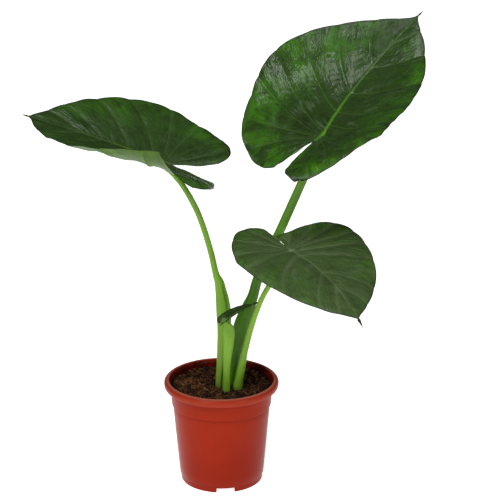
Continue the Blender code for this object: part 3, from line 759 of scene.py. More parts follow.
def build_blade(name, materials, rows_spacing, columns, seed, tip_length):
    leaf = LEAVES[name]
    length = leaf["length"]
    size = length / LARGE_BLADE
    knots = {0.0, 1.0, FAN_START}
    for key in ("left", "right"):
        knots |= {round(row_of_vein(*vein), 5) for vein in VEINS[name][key]}
    rows = rows_between(sorted(knots), rows_spacing)
    across = (np.arange(columns + 1) / columns) ** 1.3
    halves = [Half(name, leaf, key, rows, across) for key in ("left", "right")]
    for half in halves:
        add_relief(name, half, seed)

    def whole_grid(key):
        """One grid of both halves, from the right margin over the midrib to the left margin."""
        left, right = (getattr(half, key) for half in halves)
        return np.concatenate([right[:, :0:-1], left], axis=1)

    place = leaf_matrix(leaf)
    points = moved(place, whole_grid("bent"))
    # normals of the smooth blade: its ends are points, so they take those of the rows beside them
    normals = np.cross(np.gradient(points, axis=1), np.gradient(points, axis=0))
    normals = normals / np.maximum(np.linalg.norm(normals, axis=-1, keepdims=True), 1e-15)
    normals[:2] = normals[2]
    normals[-2:] = normals[-3]
    up = np.array(place.to_3x3() @ Vector((0, 0, 1)))
    if (normals @ up).mean() < 0:
        normals = -normals
    flat = whole_grid("flat")
    from_stalk = np.hypot(flat[..., 0], flat[..., 1]) * length
    taper = np.clip(1 - flat[..., 0] / TIP_X, 0.0, 1.0)
    values = {
        key: whole_grid(key)
        for key in ("vein_gap", "vein_width", "rib_gap", "margin_gap", "run", "lane", "outward", "side_vein")
    }
    rib_width = (0.0006 + 0.0030 * taper**1.1) * size * RIB[name]
    values.update(from_stalk=from_stalk, rib_width=rib_width)
    rib = np.sqrt(np.clip(1 - (values["rib_gap"] / rib_width) ** 2, 0, 1))
    rib = rib * smoothstep(SINUS_X, SINUS_X * 0.3, flat[..., 0])
    relief = whole_grid("relief")
    top = points + normals * (relief + 0.25 * rib_width * rib)[..., None]
    boss = 0.0028 * size * np.exp(-((from_stalk / (0.0070 * size)) ** 2))
    raised_vein = 0.0010 * size * np.exp(-((values["vein_gap"] / (values["vein_width"] * 1.6 + 1e-6)) ** 2))
    raised_vein = raised_vein * (1 - 0.8 * values["outward"])
    thick = 0.00035 + 0.00040 * smoothstep(0.0, 0.012, values["margin_gap"])
    thick = thick + 0.85 * rib_width * rib + raised_vein + boss
    under = points + normals * (relief - thick)[..., None]

    # vertex numbers: the first and last rows are single points
    height, breadth = relief.shape
    numbers = np.arange(height * breadth).reshape(height, breadth)
    numbers[0, :] = numbers[0, breadth // 2]
    numbers[-1, :] = numbers[-1, breadth // 2]
    count = height * breadth
    faces, kinds = [], []

    def add_face(corners, kind):
        kept = []
        for corner in corners:
            if corner not in kept:
                kept.append(int(corner))
        if len(kept) > 2:
            faces.append(tuple(kept))
            kinds.append(kind)

    for i in range(height - 1):
        for j in range(breadth - 1):
            a, b, c, d = numbers[i, j], numbers[i, j + 1], numbers[i + 1, j + 1], numbers[i + 1, j]
            add_face((a, b, c, d), 0)
            add_face((d + count, c + count, b + count, a + count), 1)
    for i in range(height - 1):
        a, b = numbers[i, 0], numbers[i + 1, 0]
        add_face((a, b, b + count, a + count), 2)
        a, b = numbers[i, -1], numbers[i + 1, -1]
        add_face((b, a, a + count, b + count), 2)
    all_points = np.concatenate([top.reshape(-1, 3), under.reshape(-1, 3)])
    # leave out the vertices that the single-point rows don't use
    used = np.unique(np.concatenate([np.array(face) for face in faces]))
    renumber = np.full(2 * count, -1)
    renumber[used] = np.arange(len(used))
    faces = [tuple(int(renumber[v]) for v in face) for face in faces]
    made = new_mesh_object(f"{name}_blade_skin", all_points[used], faces, materials, kinds)
    for key, grid in values.items():
        add_values(made.data, key, np.tile(grid.ravel(), 2)[used])
    bm = bmesh.new()
    bm.from_mesh(made.data)
    bmesh.ops.recalc_face_normals(bm, faces=bm.faces)
    tops = [face for face in bm.faces if face.material_index == 0]
    total = sum(face.normal.dot(Vector(up)) * face.calc_area() for face in tops)
    if total < 0:
        bmesh.ops.reverse_faces(bm, faces=bm.faces)
    add_drip_tip(bm, top, under, tip_length, size)
    bm.to_mesh(made.data)
    bm.free()
    return made


def add_drip_tip(bm, top, under, tip_length, size):
    """The thread that the blade's tip runs out into: a thin tapered tube that curves downward."""
    breadth = top.shape[1]
    tip = Vector((top[0, breadth // 2] + under[0, breadth // 2]) / 2)
    inner = Vector(top[12, breadth // 2])
    way = (tip - inner).normalized()
    start = tip - way * 0.004 * size
    rings = 7
    sides = 8
    loops = []
    side = way.cross(Vector((0, 0, 1))).normalized()
    lift = side.cross(way).normalized()
    for i in range(rings):
        t = i / (rings - 1)
        centre = start + way * (tip_length + 0.004 * size) * t - Vector((0, 0, 0.18 * tip_length * t * t))
        radius = 0.20 * tip_length * (1 - t) ** 1.3 + 0.00016 * size
        loop = []
        for k in range(sides):
            angle = 2 * math.pi * k / sides
            offset = side * radius * math.cos(angle) + lift * radius * math.sin(angle)
            loop.append(bm.verts.new(centre + offset))
        loops.append(loop)
    new_faces = []
    for low, high in zip(loops, loops[1:]):
        for k in range(sides):
            n = (k + 1) % sides
            new_faces.append(bm.faces.new((low[k], low[n], high[n], high[k])))
    new_faces.append(bm.faces.new(loops[0][::-1]))
    new_faces.append(bm.faces.new(loops[-1]))
    for face in new_faces:
        face.material_index = 2
        face.smooth = True
    bmesh.ops.recalc_face_normals(bm, faces=new_faces)


# ---------------------------------------------------------------- stalks

STALK_SIDES = 56
STALK_STEPS = 9

# Grooves along a stalk: the angle that they face (0 is +X, -90 the front), their half width in degrees, their
# depth as a share of the radius, the shares of the height between which they run, and how dark their painted
# shade is.
GROOVES = {
    "left_leaf": ((-38, 30, 0.42, 0.02, 0.47, 0.75), (10, 34, 0.10, 0.50, 0.97, 0.15)),
    "upper_right_leaf": ((215, 26, 0.22, 0.02, 0.36, 0.5), (170, 36, 0.12, 0.36, 0.97, 0.2)),
    "lower_right_leaf": ((-168, 26, 0.22, 0.0, 0.30, 0.35), (190, 36, 0.10, 0.30, 0.97, 0.15)),
    "small_leaf": ((-160, 24, 0.20, 0.02, 0.75, 0.25),),
}


def stalk_rows(name):
    """Centres and half widths along the stalk, from under the soil to the blade."""
    leaf = LEAVES[name]
    stalk = STALKS[name]
    end = leaf_matrix(leaf).translation
    left_fold, right_fold = (math.radians(leaf[half]["fold"]) for half in ("left", "right"))
    tilt = (left_fold - right_fold) / 2
    up = (leaf_matrix(leaf).to_3x3() @ Vector((0, -math.sin(tilt), math.cos(tilt)))).normalized()
    half_width = stalk["stations"][-1][4] * GIRTH
    slope_drop = max(0.0, -math.sin((left_fold + right_fold) / 2)) * half_width
    point = end - up * (BLADE_THICKNESS + 0.0006 + slope_drop)
    foot = Vector((CROWN_X + stalk["foot"][0] * GIRTH, CROWN_Y + stalk["foot"][1] * GIRTH, SOIL_LEVEL))
    way = point - foot
    rows = []
    for height, across_x, across_y, aside, wide, deep in stalk["stations"]:
        x = foot.x + across_x * way.x + aside * GIRTH
        y = foot.y + across_y * way.y
        rows.append((x, y, foot.z + height * way.z, wide * GIRTH, deep * GIRTH, height))
    below = (foot.x, foot.y, foot.z - ROOT_DEPTH, rows[0][3] * 0.9, rows[0][4] * 0.9, -0.05)
    return smooth_points([below] + rows, STALK_STEPS), up


def build_stalk(name, surface, seed):
    rows, up = stalk_rows(name)
    centres = rows[:, :3]
    directions = np.gradient(centres, axis=0)
    directions /= np.linalg.norm(directions, axis=1, keepdims=True)
    angles = 2 * math.pi * np.arange(STALK_SIDES) / STALK_SIDES
    lumps = Waves(seed, (0.05, 0.9))
    points, along_values, around_values, groove_shade_values = [], [], [], []
    for i, row in enumerate(rows):
        direction = Vector(directions[i])
        sideways = Vector((1, 0, 0)) - direction * direction.x
        sideways.normalize()
        back = direction.cross(sideways)
        height = row[5]
        shrink = np.ones(STALK_SIDES)
        # dark: how much painted shade falls in the grooves
        dark = np.zeros(STALK_SIDES)
        for facing, half_width, depth, low, high, shade in GROOVES[name]:
            fade = float(smoothstep(low - 0.04, low + 0.04, np.array(height)))
            fade *= float(smoothstep(high + 0.05, high - 0.05, np.array(height)))
            off = (np.degrees(angles) - facing + 180) % 360 - 180
            bowl = np.exp(-((off / half_width) ** 2) * 1.6)
            lip = np.exp(-(((np.abs(off) - 1.25 * half_width) / (0.45 * half_width)) ** 2))
            shrink *= 1 - depth * fade * bowl + 0.10 * depth * fade * lip
            dark = np.maximum(dark, shade * fade * bowl)
        uneven = 1 + 0.018 * lumps(centres[i, 2] + 0 * angles, np.cos(angles) + 0.5 * np.sin(2 * angles))
        shrink = shrink * uneven
        for k in range(STALK_SIDES):
            offset = sideways * (row[3] * math.cos(angles[k])) + back * (row[4] * math.sin(angles[k]))
            points.append(Vector(centres[i]) + offset * shrink[k])
        along_values += [height] * STALK_SIDES
        around_values += list(np.abs(angles - math.pi) / math.pi)
        groove_shade_values += list(dark)
    count = len(rows)
    faces = []
    for i in range(count - 1):
        for k in range(STALK_SIDES):
            n = (k + 1) % STALK_SIDES
            a = i * STALK_SIDES
            faces.append((a + k, a + n, a + STALK_SIDES + n, a + STALK_SIDES + k))
    # lay the top end along the blade's underside and narrow it
    end = Vector(centres[-1])
    for k in range(STALK_SIDES):
        i = (count - 1) * STALK_SIDES + k
        drop = (points[i] - end).dot(up)
        direction = Vector(directions[-1])
        points[i] = points[i] - direction * (drop / max(direction.dot(up), 0.25))
        points[i] = end + (points[i] - end) * 0.82
    faces.append(tuple(range(STALK_SIDES))[::-1])
    faces.append(tuple(range((count - 1) * STALK_SIDES, count * STALK_SIDES)))
    made = new_mesh_object(f"{name}_stalk_skin", points, faces, [surface])
    for key, values in (("along", along_values), ("around", around_values), ("groove", groove_shade_values)):
        add_values(made.data, key, values)
    face_out(made.data)
    return made


# ---------------------------------------------------------------- pot

POT_STEPS = 192


def collar_radii():
    top = RIM_RADIUS - RIM_WIDTH
    bottom = top - COLLAR_TAPER
    return top, bottom, bottom - COLLAR_STEP


def pot_sections():
    """The pot's section from the middle of its floor over the rim and back.

    Each point is a radius, a height, whether it is inside and how much painted highlight it takes. The lists
    are in millimetres.
    """
    collar_top, collar_bottom, body_top = (radius / MM for radius in collar_radii())
    h, edge, base, disc = (size / MM for size in (POT_HEIGHT, RIM_RADIUS, BASE_RADIUS, DISC_RADIUS))
    wall, floor, foot_top = (size / MM for size in (WALL, CHANNEL_HEIGHT, FOOT_HEIGHT))
    low_rim = h - RIM_SKIRT / MM
    step_z = h - COLLAR_HEIGHT / MM
    straight = COLLAR_HEIGHT / MM - 6.0
    foot = base - FOOT_STEP / MM
    skirt = edge - 0.6
    inside = [
        (0.0, wall), (0.5 * disc, wall), (disc - wall, wall), (disc, floor + wall),
        (base - wall - 1.0, floor + wall), (base - wall, foot_top + 2 * wall),
        (0.5 * (base + body_top) - wall, 0.5 * step_z), (body_top - wall, step_z - COLLAR_STEP / MM),
        (collar_bottom - wall - 0.2, step_z + 0.4 * wall), (collar_bottom - wall, step_z + 1.4 * wall),
        (0.5 * (collar_bottom + collar_top) - wall, step_z + 0.5 * straight),
        (collar_top - wall - 0.1, h - 9.0), (collar_top - wall, h - 6.0),
    ]
    rim = [
        (collar_top - 0.7, h - 4.6), (collar_top, h - 3.4), (collar_top + 0.9, h - 2.0),
        (collar_top + 1.5, h - 1.1), (collar_top + 1.9, h - 0.5),
        (collar_top + 2.3, h - 0.15), (collar_top + 2.8, h), (collar_top + 3.4, h - 0.05),
        (edge - 4.0, h - 0.55), (edge - 2.6, h - 1.1),
        (edge - 1.5, h - 1.9), (edge - 0.7, h - 2.9),
        (edge - 0.25, h - 4.2), (edge, h - 5.8), (edge - 0.1, h - 7.6),
        (skirt + 0.1, h - 9.4), (skirt - 0.3, low_rim + 0.5), (skirt - 0.6, low_rim),
    ]
    under_rim = [
        (skirt - 1.1, low_rim), (skirt - 1.35, low_rim + 0.5),
        (skirt - 1.6, h - 5.4), (skirt - 2.6, h - 4.3), (collar_top + 2.2, h - 4.2),
        (collar_top + 0.7, h - 4.8), (collar_top + 0.1, h - 6.2),
    ]
    outside = [
        (0.6 * collar_top + 0.4 * collar_bottom, step_z + 0.60 * straight),
        (0.2 * collar_top + 0.8 * collar_bottom, step_z + 0.20 * straight),
        (collar_bottom + 0.05, step_z + 1.5), (collar_bottom, step_z + 0.7),
        (collar_bottom - 0.25, step_z + 0.2), (collar_bottom - 0.6, step_z),
        (body_top + 0.15, step_z + 0.25), (body_top - 0.25, step_z - 0.1),
        (body_top - 0.15, step_z - 0.8), (body_top, step_z - 1.4),
    ]
    body_bottom = foot_top + 0.6
    for t in (0.12, 0.25, 0.38, 0.5, 0.62, 0.75, 0.88):
        outside.append((body_top + (base - body_top) * t, step_z + (body_bottom - step_z) * t))
    outside += [
        (base, body_bottom + 0.4), (base - 0.25, body_bottom - 0.1),
        (foot + 0.25, foot_top - 0.1), (foot, foot_top - 0.7),
        (foot - 0.35, 4.0), (foot - 0.6, 0.9), (foot - 0.8, 0.25),
        (foot - 1.1, 0.0), (foot - wall - 0.5, 0.0), (foot - wall - 0.6, 0.4),
        (foot - wall, floor), (disc + wall, floor), (disc + 0.2, 0.3),
        (disc - 0.3, 0.0), (0.5 * disc, 0.0), (0.0, 0.0),
    ]
    highlight_values = {4: 0.6, 5: 1.0, 6: 1.0, 7: 1.0, 8: 0.7, 9: 0.3}  # the rim's upper edge takes a painted highlight, a pale line
    section = [(r, z, 1.0, 0.0) for r, z in inside]
    section += [(r, z, 1.0 if i < 3 else 0.0, highlight_values.get(i, 0.1)) for i, (r, z) in enumerate(rim)]
    section += [(r, z, 0.0, 0.0) for r, z in under_rim + outside]
    return [(r * MM, z * MM, is_inside, highlight_share) for r, z, is_inside, highlight_share in section]


def build_pot(surface):
    sections = pot_sections()
    faces, points, inside, highlight_values = [], [], [], []
    rings = []
    for r, z, is_inside, edge in sections:
        if r == 0.0:
            rings.append([len(points)])
            points.append((0.0, 0.0, z))
            inside.append(is_inside)
            highlight_values.append(edge)
            continue
        ring = []
        for k in range(POT_STEPS):
            angle = 2 * math.pi * k / POT_STEPS
            ring.append(len(points))
            points.append((r * math.cos(angle), r * math.sin(angle), z))
            inside.append(is_inside)
            highlight_values.append(edge)
        rings.append(ring)
    for low, high in zip(rings, rings[1:]):
        for k in range(POT_STEPS):
            n = (k + 1) % POT_STEPS
            corners = [low[k % len(low)], low[n % len(low)], high[n % len(high)], high[k % len(high)]]
            faces.append(tuple(dict.fromkeys(corners)))
    step_z = POT_HEIGHT - COLLAR_HEIGHT
    collar_top, collar_bottom, body_top = collar_radii()
    # where painted shade darkens the pot: at the collar's step, at the foot's step and under the rim
    crevice_shade = []
    for x, y, z in points:
        r = math.hypot(x, y)
        at_step = math.exp(-(((z - step_z + 0.1 * MM) / (0.55 * MM)) ** 2))
        at_step *= body_top - 1 * MM < r < collar_bottom
        at_foot = 0.6 * math.exp(-(((z - FOOT_HEIGHT) / (0.5 * MM)) ** 2)) * (r > BASE_RADIUS - 2.2 * MM)
        under = 0.8 * (z < POT_HEIGHT - 3.5 * MM and collar_top < r < RIM_RADIUS - 1.5 * MM)
        crevice_shade.append(max(at_step, at_foot, under))
    made = new_mesh_object("pot_shell", points, faces, [surface])
    for key, values in (("crevice_shade", crevice_shade), ("inside", inside), ("rim_highlight", highlight_values)):
        add_values(made.data, key, values)
    face_out(made.data)
    cutters = []
    for angle in NOTCH_ANGLES:
        bm = bmesh.new()
        bmesh.ops.create_cube(bm, size=1.0)
        for vertex in bm.verts:
            vertex.co.y *= NOTCH_WIDTH * (1.10 if vertex.co.z < 0 else 1.0)
            vertex.co.x *= 14.0 * MM
            vertex.co.z *= 2 * NOTCH_HEIGHT
        turn = Matrix.Rotation(math.radians(angle), 4, "Z")
        turn = turn @ Matrix.Translation((BASE_RADIUS - 3 * MM, 0, 0))
        bmesh.ops.transform(bm, verts=bm.verts, matrix=turn)
        cutters.append(bm)
    for number in range(HOLE_COUNT):
        angle = 2 * math.pi * (number + 0.5) / HOLE_COUNT
        radius = (DISC_RADIUS + BASE_RADIUS) / 2
        place = Vector((radius * math.cos(angle), radius * math.sin(angle), CHANNEL_HEIGHT + WALL / 2))
        bm = bmesh.new()
        bmesh.ops.create_cone(
            bm, cap_ends=True, segments=32, radius1=HOLE_DIAMETER / 2, radius2=HOLE_DIAMETER / 2,
            depth=4 * WALL, matrix=Matrix.Translation(place),
        )
        cutters.append(bm)
    for number, bm in enumerate(cutters):
        mesh = bpy.data.meshes.new("cutter")
        bm.to_mesh(mesh)
        bm.free()
        cutter = new_object("cutter", mesh)
        modifier = made.modifiers.new(f"cut_{number}", "BOOLEAN")
        modifier.operation = "DIFFERENCE"
        modifier.solver = "EXACT"
        modifier.object = cutter
    graph = bpy.context.evaluated_depsgraph_get()
    whole = bpy.data.meshes.new_from_object(made.evaluated_get(graph))
    for modifier in list(made.modifiers):
        cutter = modifier.object
        made.modifiers.remove(modifier)
        bpy.data.objects.remove(cutter)
    made.data = whole
    whole.name = "pot_shell"
    whole.polygons.foreach_set("use_smooth", np.full(len(whole.polygons), True))
    whole.set_sharp_from_angle(angle=math.radians(50))
    return made


# ---------------------------------------------------------------- soil

def soil_relief(x, y):
    u, v = x / RIM_RADIUS, y / RIM_RADIUS
    waves = np.sin(5.1 * u + 1.3) * np.cos(4.3 * v - 0.4) + 0.6 * np.sin(9.7 * u - 7.9 * v + 0.8)
    hollow = np.exp(-((x - CROWN_X) ** 2 + (y - CROWN_Y) ** 2) / (0.4 * RIM_RADIUS) ** 2)
    return SOIL_RELIEF * (0.45 * waves - 0.9 * hollow + 0.3)


CLODS = Waves(71, (0.016, 0.016), 14)
LUMPS = Waves(72, (0.006, 0.006), 18)
GRIT = Waves(73, (0.0022, 0.0022), 26)
MOUND = (-0.047, 0.004, 0.017)  # a coarser heap of bark left of the crown: X, Y and radius

CRUMB_COUNT = 2300
LARGE_CRUMBS = 60
FIBRE_COUNT = 760
HEAP_FIBRES = 130
CHIP_COUNT = 210
HEAP_CHIPS = 46


def soil_height(x, y):
    heap = np.exp(-((x - MOUND[0]) ** 2 + (y - MOUND[1]) ** 2) / MOUND[2] ** 2)
    rough = 0.0015 * CLODS(x, y) + 0.0013 * LUMPS(x, y) + 0.00055 * GRIT(x, y)
    return SOIL_LEVEL + soil_relief(x, y) + rough + 0.003 * heap


def soil_edge_radius():
    collar_top, collar_bottom, _ = collar_radii()
    wall_z = POT_HEIGHT - 6 * MM
    step_z = POT_HEIGHT - COLLAR_HEIGHT + WALL
    share = (SOIL_LEVEL - step_z) / (wall_z - step_z)
    return collar_bottom - WALL + share * (collar_top - collar_bottom) - 0.5 * MM


def build_soil(surface):
    edge = soil_edge_radius()
    rings, around = 96, 300
    points, faces = [(0.0, 0.0, float(soil_height(np.array(0.0), np.array(0.0))))], []
    radii = edge * (np.arange(1, rings + 1) / rings) ** 0.8
    angles = 2 * math.pi * np.arange(around) / around
    for r in radii:
        x = r * np.cos(angles)
        y = r * np.sin(angles)
        z = soil_height(x, y)
        points += list(zip(x, y, z))
    low = SOIL_LEVEL - 18 * MM
    points += [(0.97 * edge * math.cos(a), 0.97 * edge * math.sin(a), low) for a in angles]
    bottom = len(points)
    points.append((0.0, 0.0, low))
    for k in range(around):
        n = (k + 1) % around
        faces.append((0, 1 + k, 1 + n))
        for i in range(rings):
            a = 1 + i * around
            faces.append((a + k, a + around + k, a + around + n, a + n))
        faces.append((bottom, bottom - around + n, bottom - around + k))
    return new_mesh_object("soil_surface", points, faces, [surface])


def icosphere(subdivisions):
    bm = bmesh.new()
    bmesh.ops.create_icosphere(bm, subdivisions=subdivisions, radius=1.0)
    bm.verts.ensure_lookup_table()
    points = np.array([v.co for v in bm.verts])
    faces = np.array([[v.index for v in f.verts] for f in bm.faces])
    bm.free()
    return points, faces


def random_turn(rng):
    a, b, c = rng.uniform(0, 2 * math.pi, 3)
    turn = Matrix.Rotation(a, 3, "Z") @ Matrix.Rotation(b, 3, "X") @ Matrix.Rotation(c, 3, "Z")
    return np.array(turn)


class Bits:
    """Many small shapes collected into one mesh, each with its own shade."""

    def __init__(self):
        self.points, self.faces, self.shades, self.count = [], [], [], 0

    def add(self, points, faces, shade):
        self.points.append(points)
        self.faces.append(np.array(faces) + self.count)
        self.shades.append(np.full(len(points), shade))
        self.count += len(points)

    def build(self, name, surface, smooth=True):
        faces = [tuple(int(v) for v in face) for block in self.faces for face in block]
        made = new_mesh_object(name, np.concatenate(self.points), faces, [surface], smooth=smooth)
        add_values(made.data, "shade", np.concatenate(self.shades))
        return made


def stalk_feet():
    feet = []
    for stalk in STALKS.values():
        wide, deep = stalk["stations"][0][4:6]
        x = CROWN_X + stalk["foot"][0] * GIRTH
        y = CROWN_Y + stalk["foot"][1] * GIRTH
        feet.append((x, y, wide * GIRTH, deep * GIRTH))
    return feet


FEET = stalk_feet()


def clear_of_stalks(x, y, radius):
    for fx, fy, wide, deep in FEET:
        if ((x - fx) / (wide + 0.6 * radius)) ** 2 + ((y - fy) / (deep + 0.6 * radius)) ** 2 < 1:
            return False
    return True


def scatter_place(rng, edge, reach):
    """A seeded place on the soil, clear of the stalks and of the pot's wall."""
    while True:
        r = (edge - reach) * math.sqrt(rng.uniform())
        a = rng.uniform(0, 2 * math.pi)
        x, y = r * math.cos(a), r * math.sin(a)
        if clear_of_stalks(x, y, reach):
            return x, y


def bit_place(rng, edge, reach, on_heap, spread):
    """A seeded place for a bit: on the heap, spread by so many of its radii, or anywhere on the soil."""
    if not on_heap:
        return scatter_place(rng, edge, reach)
    x = MOUND[0] + rng.normal() * spread * MOUND[2]
    return x, MOUND[1] + rng.normal() * spread * MOUND[2]


def build_crumbs(surface):
    rng = np.random.default_rng(101)
    shapes = {1: icosphere(1), 2: icosphere(2)}
    edge = soil_edge_radius()
    bits = Bits()
    for number in range(CRUMB_COUNT):
        size = 0.00055 + 0.0024 * rng.uniform() ** 3.2
        if number < LARGE_CRUMBS:
            size = rng.uniform(0.0026, 0.0042)
        points, faces = shapes[2 if size > 0.0021 else 1]
        x, y = scatter_place(rng, edge, size)
        wobble = 1 + 0.28 * Waves(number, (1.1, 1.1, 1.1), 5)(points[:, 0], points[:, 1], points[:, 2])
        stretch = rng.uniform(0.6, 1.25, 3) * np.array([1.0, 1.0, 0.8])
        shape = (points * wobble[:, None] * stretch * size) @ random_turn(rng).T
        z = float(soil_height(np.array(x), np.array(y))) + 0.30 * size
        bits.add(shape + np.array([x, y, z]), faces, rng.uniform() ** 1.5)
    return bits.build("soil_crumbs", surface)


def ribbon(path, width, thick, twist):
    """A thin four-sided strip along a path."""
    path = np.array(path)
    ways = np.gradient(path, axis=0)
    ways /= np.linalg.norm(ways, axis=1, keepdims=True)
    points, faces = [], []
    n = len(path)
    for i, (p, d) in enumerate(zip(path, ways)):
        side = np.cross(d, [0.0, 0.0, 1.0])
        side /= max(np.linalg.norm(side), 1e-9)
        lift = np.cross(side, d)
        angle = twist * i / n
        a = math.cos(angle) * side + math.sin(angle) * lift
        b = -math.sin(angle) * side + math.cos(angle) * lift
        taper = 0.35 + 0.65 * math.sin(math.pi * (0.12 + 0.76 * i / (n - 1)))
        w, t = width * taper, thick * taper
        points += [p + a * w, p + b * t, p - a * w, p - b * t]
    for i in range(n - 1):
        for k in range(4):
            m = (k + 1) % 4
            faces.append((4 * i + k, 4 * i + m, 4 * i + 4 + m, 4 * i + 4 + k))
    faces.append((3, 2, 1, 0))
    faces.append((4 * n - 4, 4 * n - 3, 4 * n - 2, 4 * n - 1))
    return np.array(points), faces


def build_fibres(surface):
    rng = np.random.default_rng(202)
    edge = soil_edge_radius()
    bits = Bits()
    for number in range(FIBRE_COUNT):
        on_heap = number < HEAP_FIBRES
        length = rng.uniform(0.004, 0.013) if not on_heap else rng.uniform(0.004, 0.010)
        while True:
            x, y = bit_place(rng, edge, 0.002, on_heap, 0.55)
            heading = rng.uniform(0, 2 * math.pi)
            bend = rng.normal() * 1.3
            steps = 7
            path = []
            px, py = x, y
            for i in range(steps):
                path.append((px, py))
                px += math.cos(heading) * length / (steps - 1)
                py += math.sin(heading) * length / (steps - 1)
                heading += bend / steps + rng.normal() * 0.12
            inside = all(math.hypot(a, b) < edge - 0.0015 for a, b in path)
            if inside and all(clear_of_stalks(a, b, 0.0016) for a, b in path):
                break
        lift = rng.uniform(0.0002, 0.0012)
        rise = rng.normal() * 0.0015
        line = []
        for i, (a, b) in enumerate(path):
            t = i / (steps - 1)
            base = float(soil_height(np.array(a), np.array(b)))
            line.append((a, b, base + lift + abs(rise) * math.sin(math.pi * t)))
        width = rng.uniform(0.00020, 0.00070) * (1.5 if on_heap else 1.0)
        points, faces = ribbon(line, width, 0.5 * width, rng.uniform(-2, 2))
        shade = rng.uniform() if not on_heap else rng.uniform(0.35, 1.0)
        bits.add(points, faces, shade)
    return bits.build("soil_fibres", surface)


def build_chips(surface):
    rng = np.random.default_rng(303)
    edge = soil_edge_radius()
    bits = Bits()
    cube = np.array([(x, y, z) for x in (-1, 1) for y in (-1, 1) for z in (-1, 1)], float)
    cube_faces = [(0, 1, 3, 2), (4, 6, 7, 5), (0, 4, 5, 1), (2, 3, 7, 6), (0, 2, 6, 4), (1, 5, 7, 3)]
    for number in range(CHIP_COUNT):
        on_heap = number < HEAP_CHIPS
        size = rng.uniform(0.0011, 0.0032)
        while True:
            x, y = bit_place(rng, edge, 2 * size, on_heap, 0.6)
            if math.hypot(x, y) < edge - 2.2 * size and clear_of_stalks(x, y, 2 * size):
                break
        stretch = [rng.uniform(low, high) for low, high in ((1.0, 2.2), (0.5, 1.1), (0.18, 0.4))]
        shape = cube * np.array(stretch) * size
        shape = shape * (1 + 0.22 * rng.normal(size=shape.shape))
        turn = Matrix.Rotation(rng.uniform(0, 2 * math.pi), 3, "Z")
        turn = turn @ Matrix.Rotation(rng.normal() * 0.35, 3, "X")
        turn = turn @ Matrix.Rotation(rng.normal() * 0.35, 3, "Y")
        shape = shape @ np.array(turn).T
        z = float(soil_height(np.array(x), np.array(y))) + 0.5 * size
        shade = rng.uniform(0.3, 1.0) if on_heap else rng.uniform()
        bits.add(shape + np.array([x, y, z]), cube_faces, shade)
    return bits.build("soil_bark", surface, smooth=False)


# ---------------------------------------------------------------- studio

CAMERA_PLACE = (0.0424, -2.6, 1.2583)
CAMERA_DOWN = 19.08  # degrees below level
CAMERA_LENS = 136.86
HORIZON = 0.30
CEILING = 0.08
SUN = ((-0.50, -0.75, 1.60), 1.45, math.radians(30))
LIGHTS = (
    ("key_softbox", (-1.3, -1.6, 2.5), (0.0, 0.0, 0.40), (0.4, 0.4), 10.0, (1.0, 0.99, 0.97)),
    ("left_strip", (-1.1, -1.9, 0.60), (0.0, 0.0, 0.10), (0.20, 1.1), 10.0, (1.0, 1.0, 1.0)),
    ("right_strip", (1.5, -1.5, 1.4), (0.0, 0.0, 0.20), (0.30, 0.9), 16.0, (0.97, 0.98, 1.0)),
)


def build_studio():
    floor_mesh = bpy.data.meshes.new("floor")
    reach = 14.0
    corners = [(-reach, -reach, 0), (reach, -reach, 0), (reach, reach, 0), (-reach, reach, 0)]
    floor_mesh.from_pydata(corners, [], [(0, 1, 2, 3)])
    floor = new_object("floor", floor_mesh)
    paint = Paint("pale_floor")
    paint.set(Roughness=0.9, Specular_IOR_Level=0.1, Emission_Strength=0.90)
    paint.set(Base_Color=(0.90, 0.90, 0.90), Emission_Color=(1.0, 1.0, 1.0))
    floor_mesh.materials.append(paint.made)

    # a bright ring at the horizon and a dim ceiling, so that glossy leaves stay dark but for the softboxes
    world = bpy.data.worlds.new("studio")
    world.use_nodes = True
    sky = world.node_tree
    background = sky.nodes["Background"]
    direction = sky.nodes.new("ShaderNodeTexCoord").outputs["Generated"]
    height = sky.nodes.new("ShaderNodeSeparateXYZ")
    sky.links.new(direction, height.inputs[0])
    ramp = sky.nodes.new("ShaderNodeMapRange")
    ramp.interpolation_type = "SMOOTHSTEP"
    sky.links.new(height.outputs["Z"], ramp.inputs["Value"])
    for socket, value in (("From Min", 0.15), ("From Max", 0.60), ("To Min", HORIZON), ("To Max", CEILING)):
        ramp.inputs[socket].default_value = value
    sky.links.new(ramp.outputs["Result"], background.inputs["Strength"])
    bpy.context.scene.world = world

    towards, strength, angle = SUN
    sun_data = bpy.data.lights.new("soft_sun", "SUN")
    sun_data.energy = strength
    sun_data.angle = angle
    sun = new_object("soft_sun", sun_data)
    sun.rotation_euler = (-Vector(towards)).to_track_quat("-Z", "Y").to_euler()

    for name, place, target, size, power, colour in LIGHTS:
        data = bpy.data.lights.new(name, "AREA")
        data.shape = "RECTANGLE"
        data.size, data.size_y = size
        data.energy = power
        data.color = colour
        light = new_object(name, data)
        light.location = place
        light.rotation_euler = (Vector(target) - Vector(place)).to_track_quat("-Z", "Y").to_euler()
        light.visible_camera = False


def build_camera():
    data = bpy.data.cameras.new("camera")
    data.sensor_width = 36.0
    data.lens = CAMERA_LENS
    camera = new_object("camera", data)
    camera.location = CAMERA_PLACE
    camera.rotation_euler = (math.radians(90 - CAMERA_DOWN), 0.0, 0.0)
    data.clip_end = 100.0
    data.dof.use_dof = False
    bpy.context.scene.camera = camera
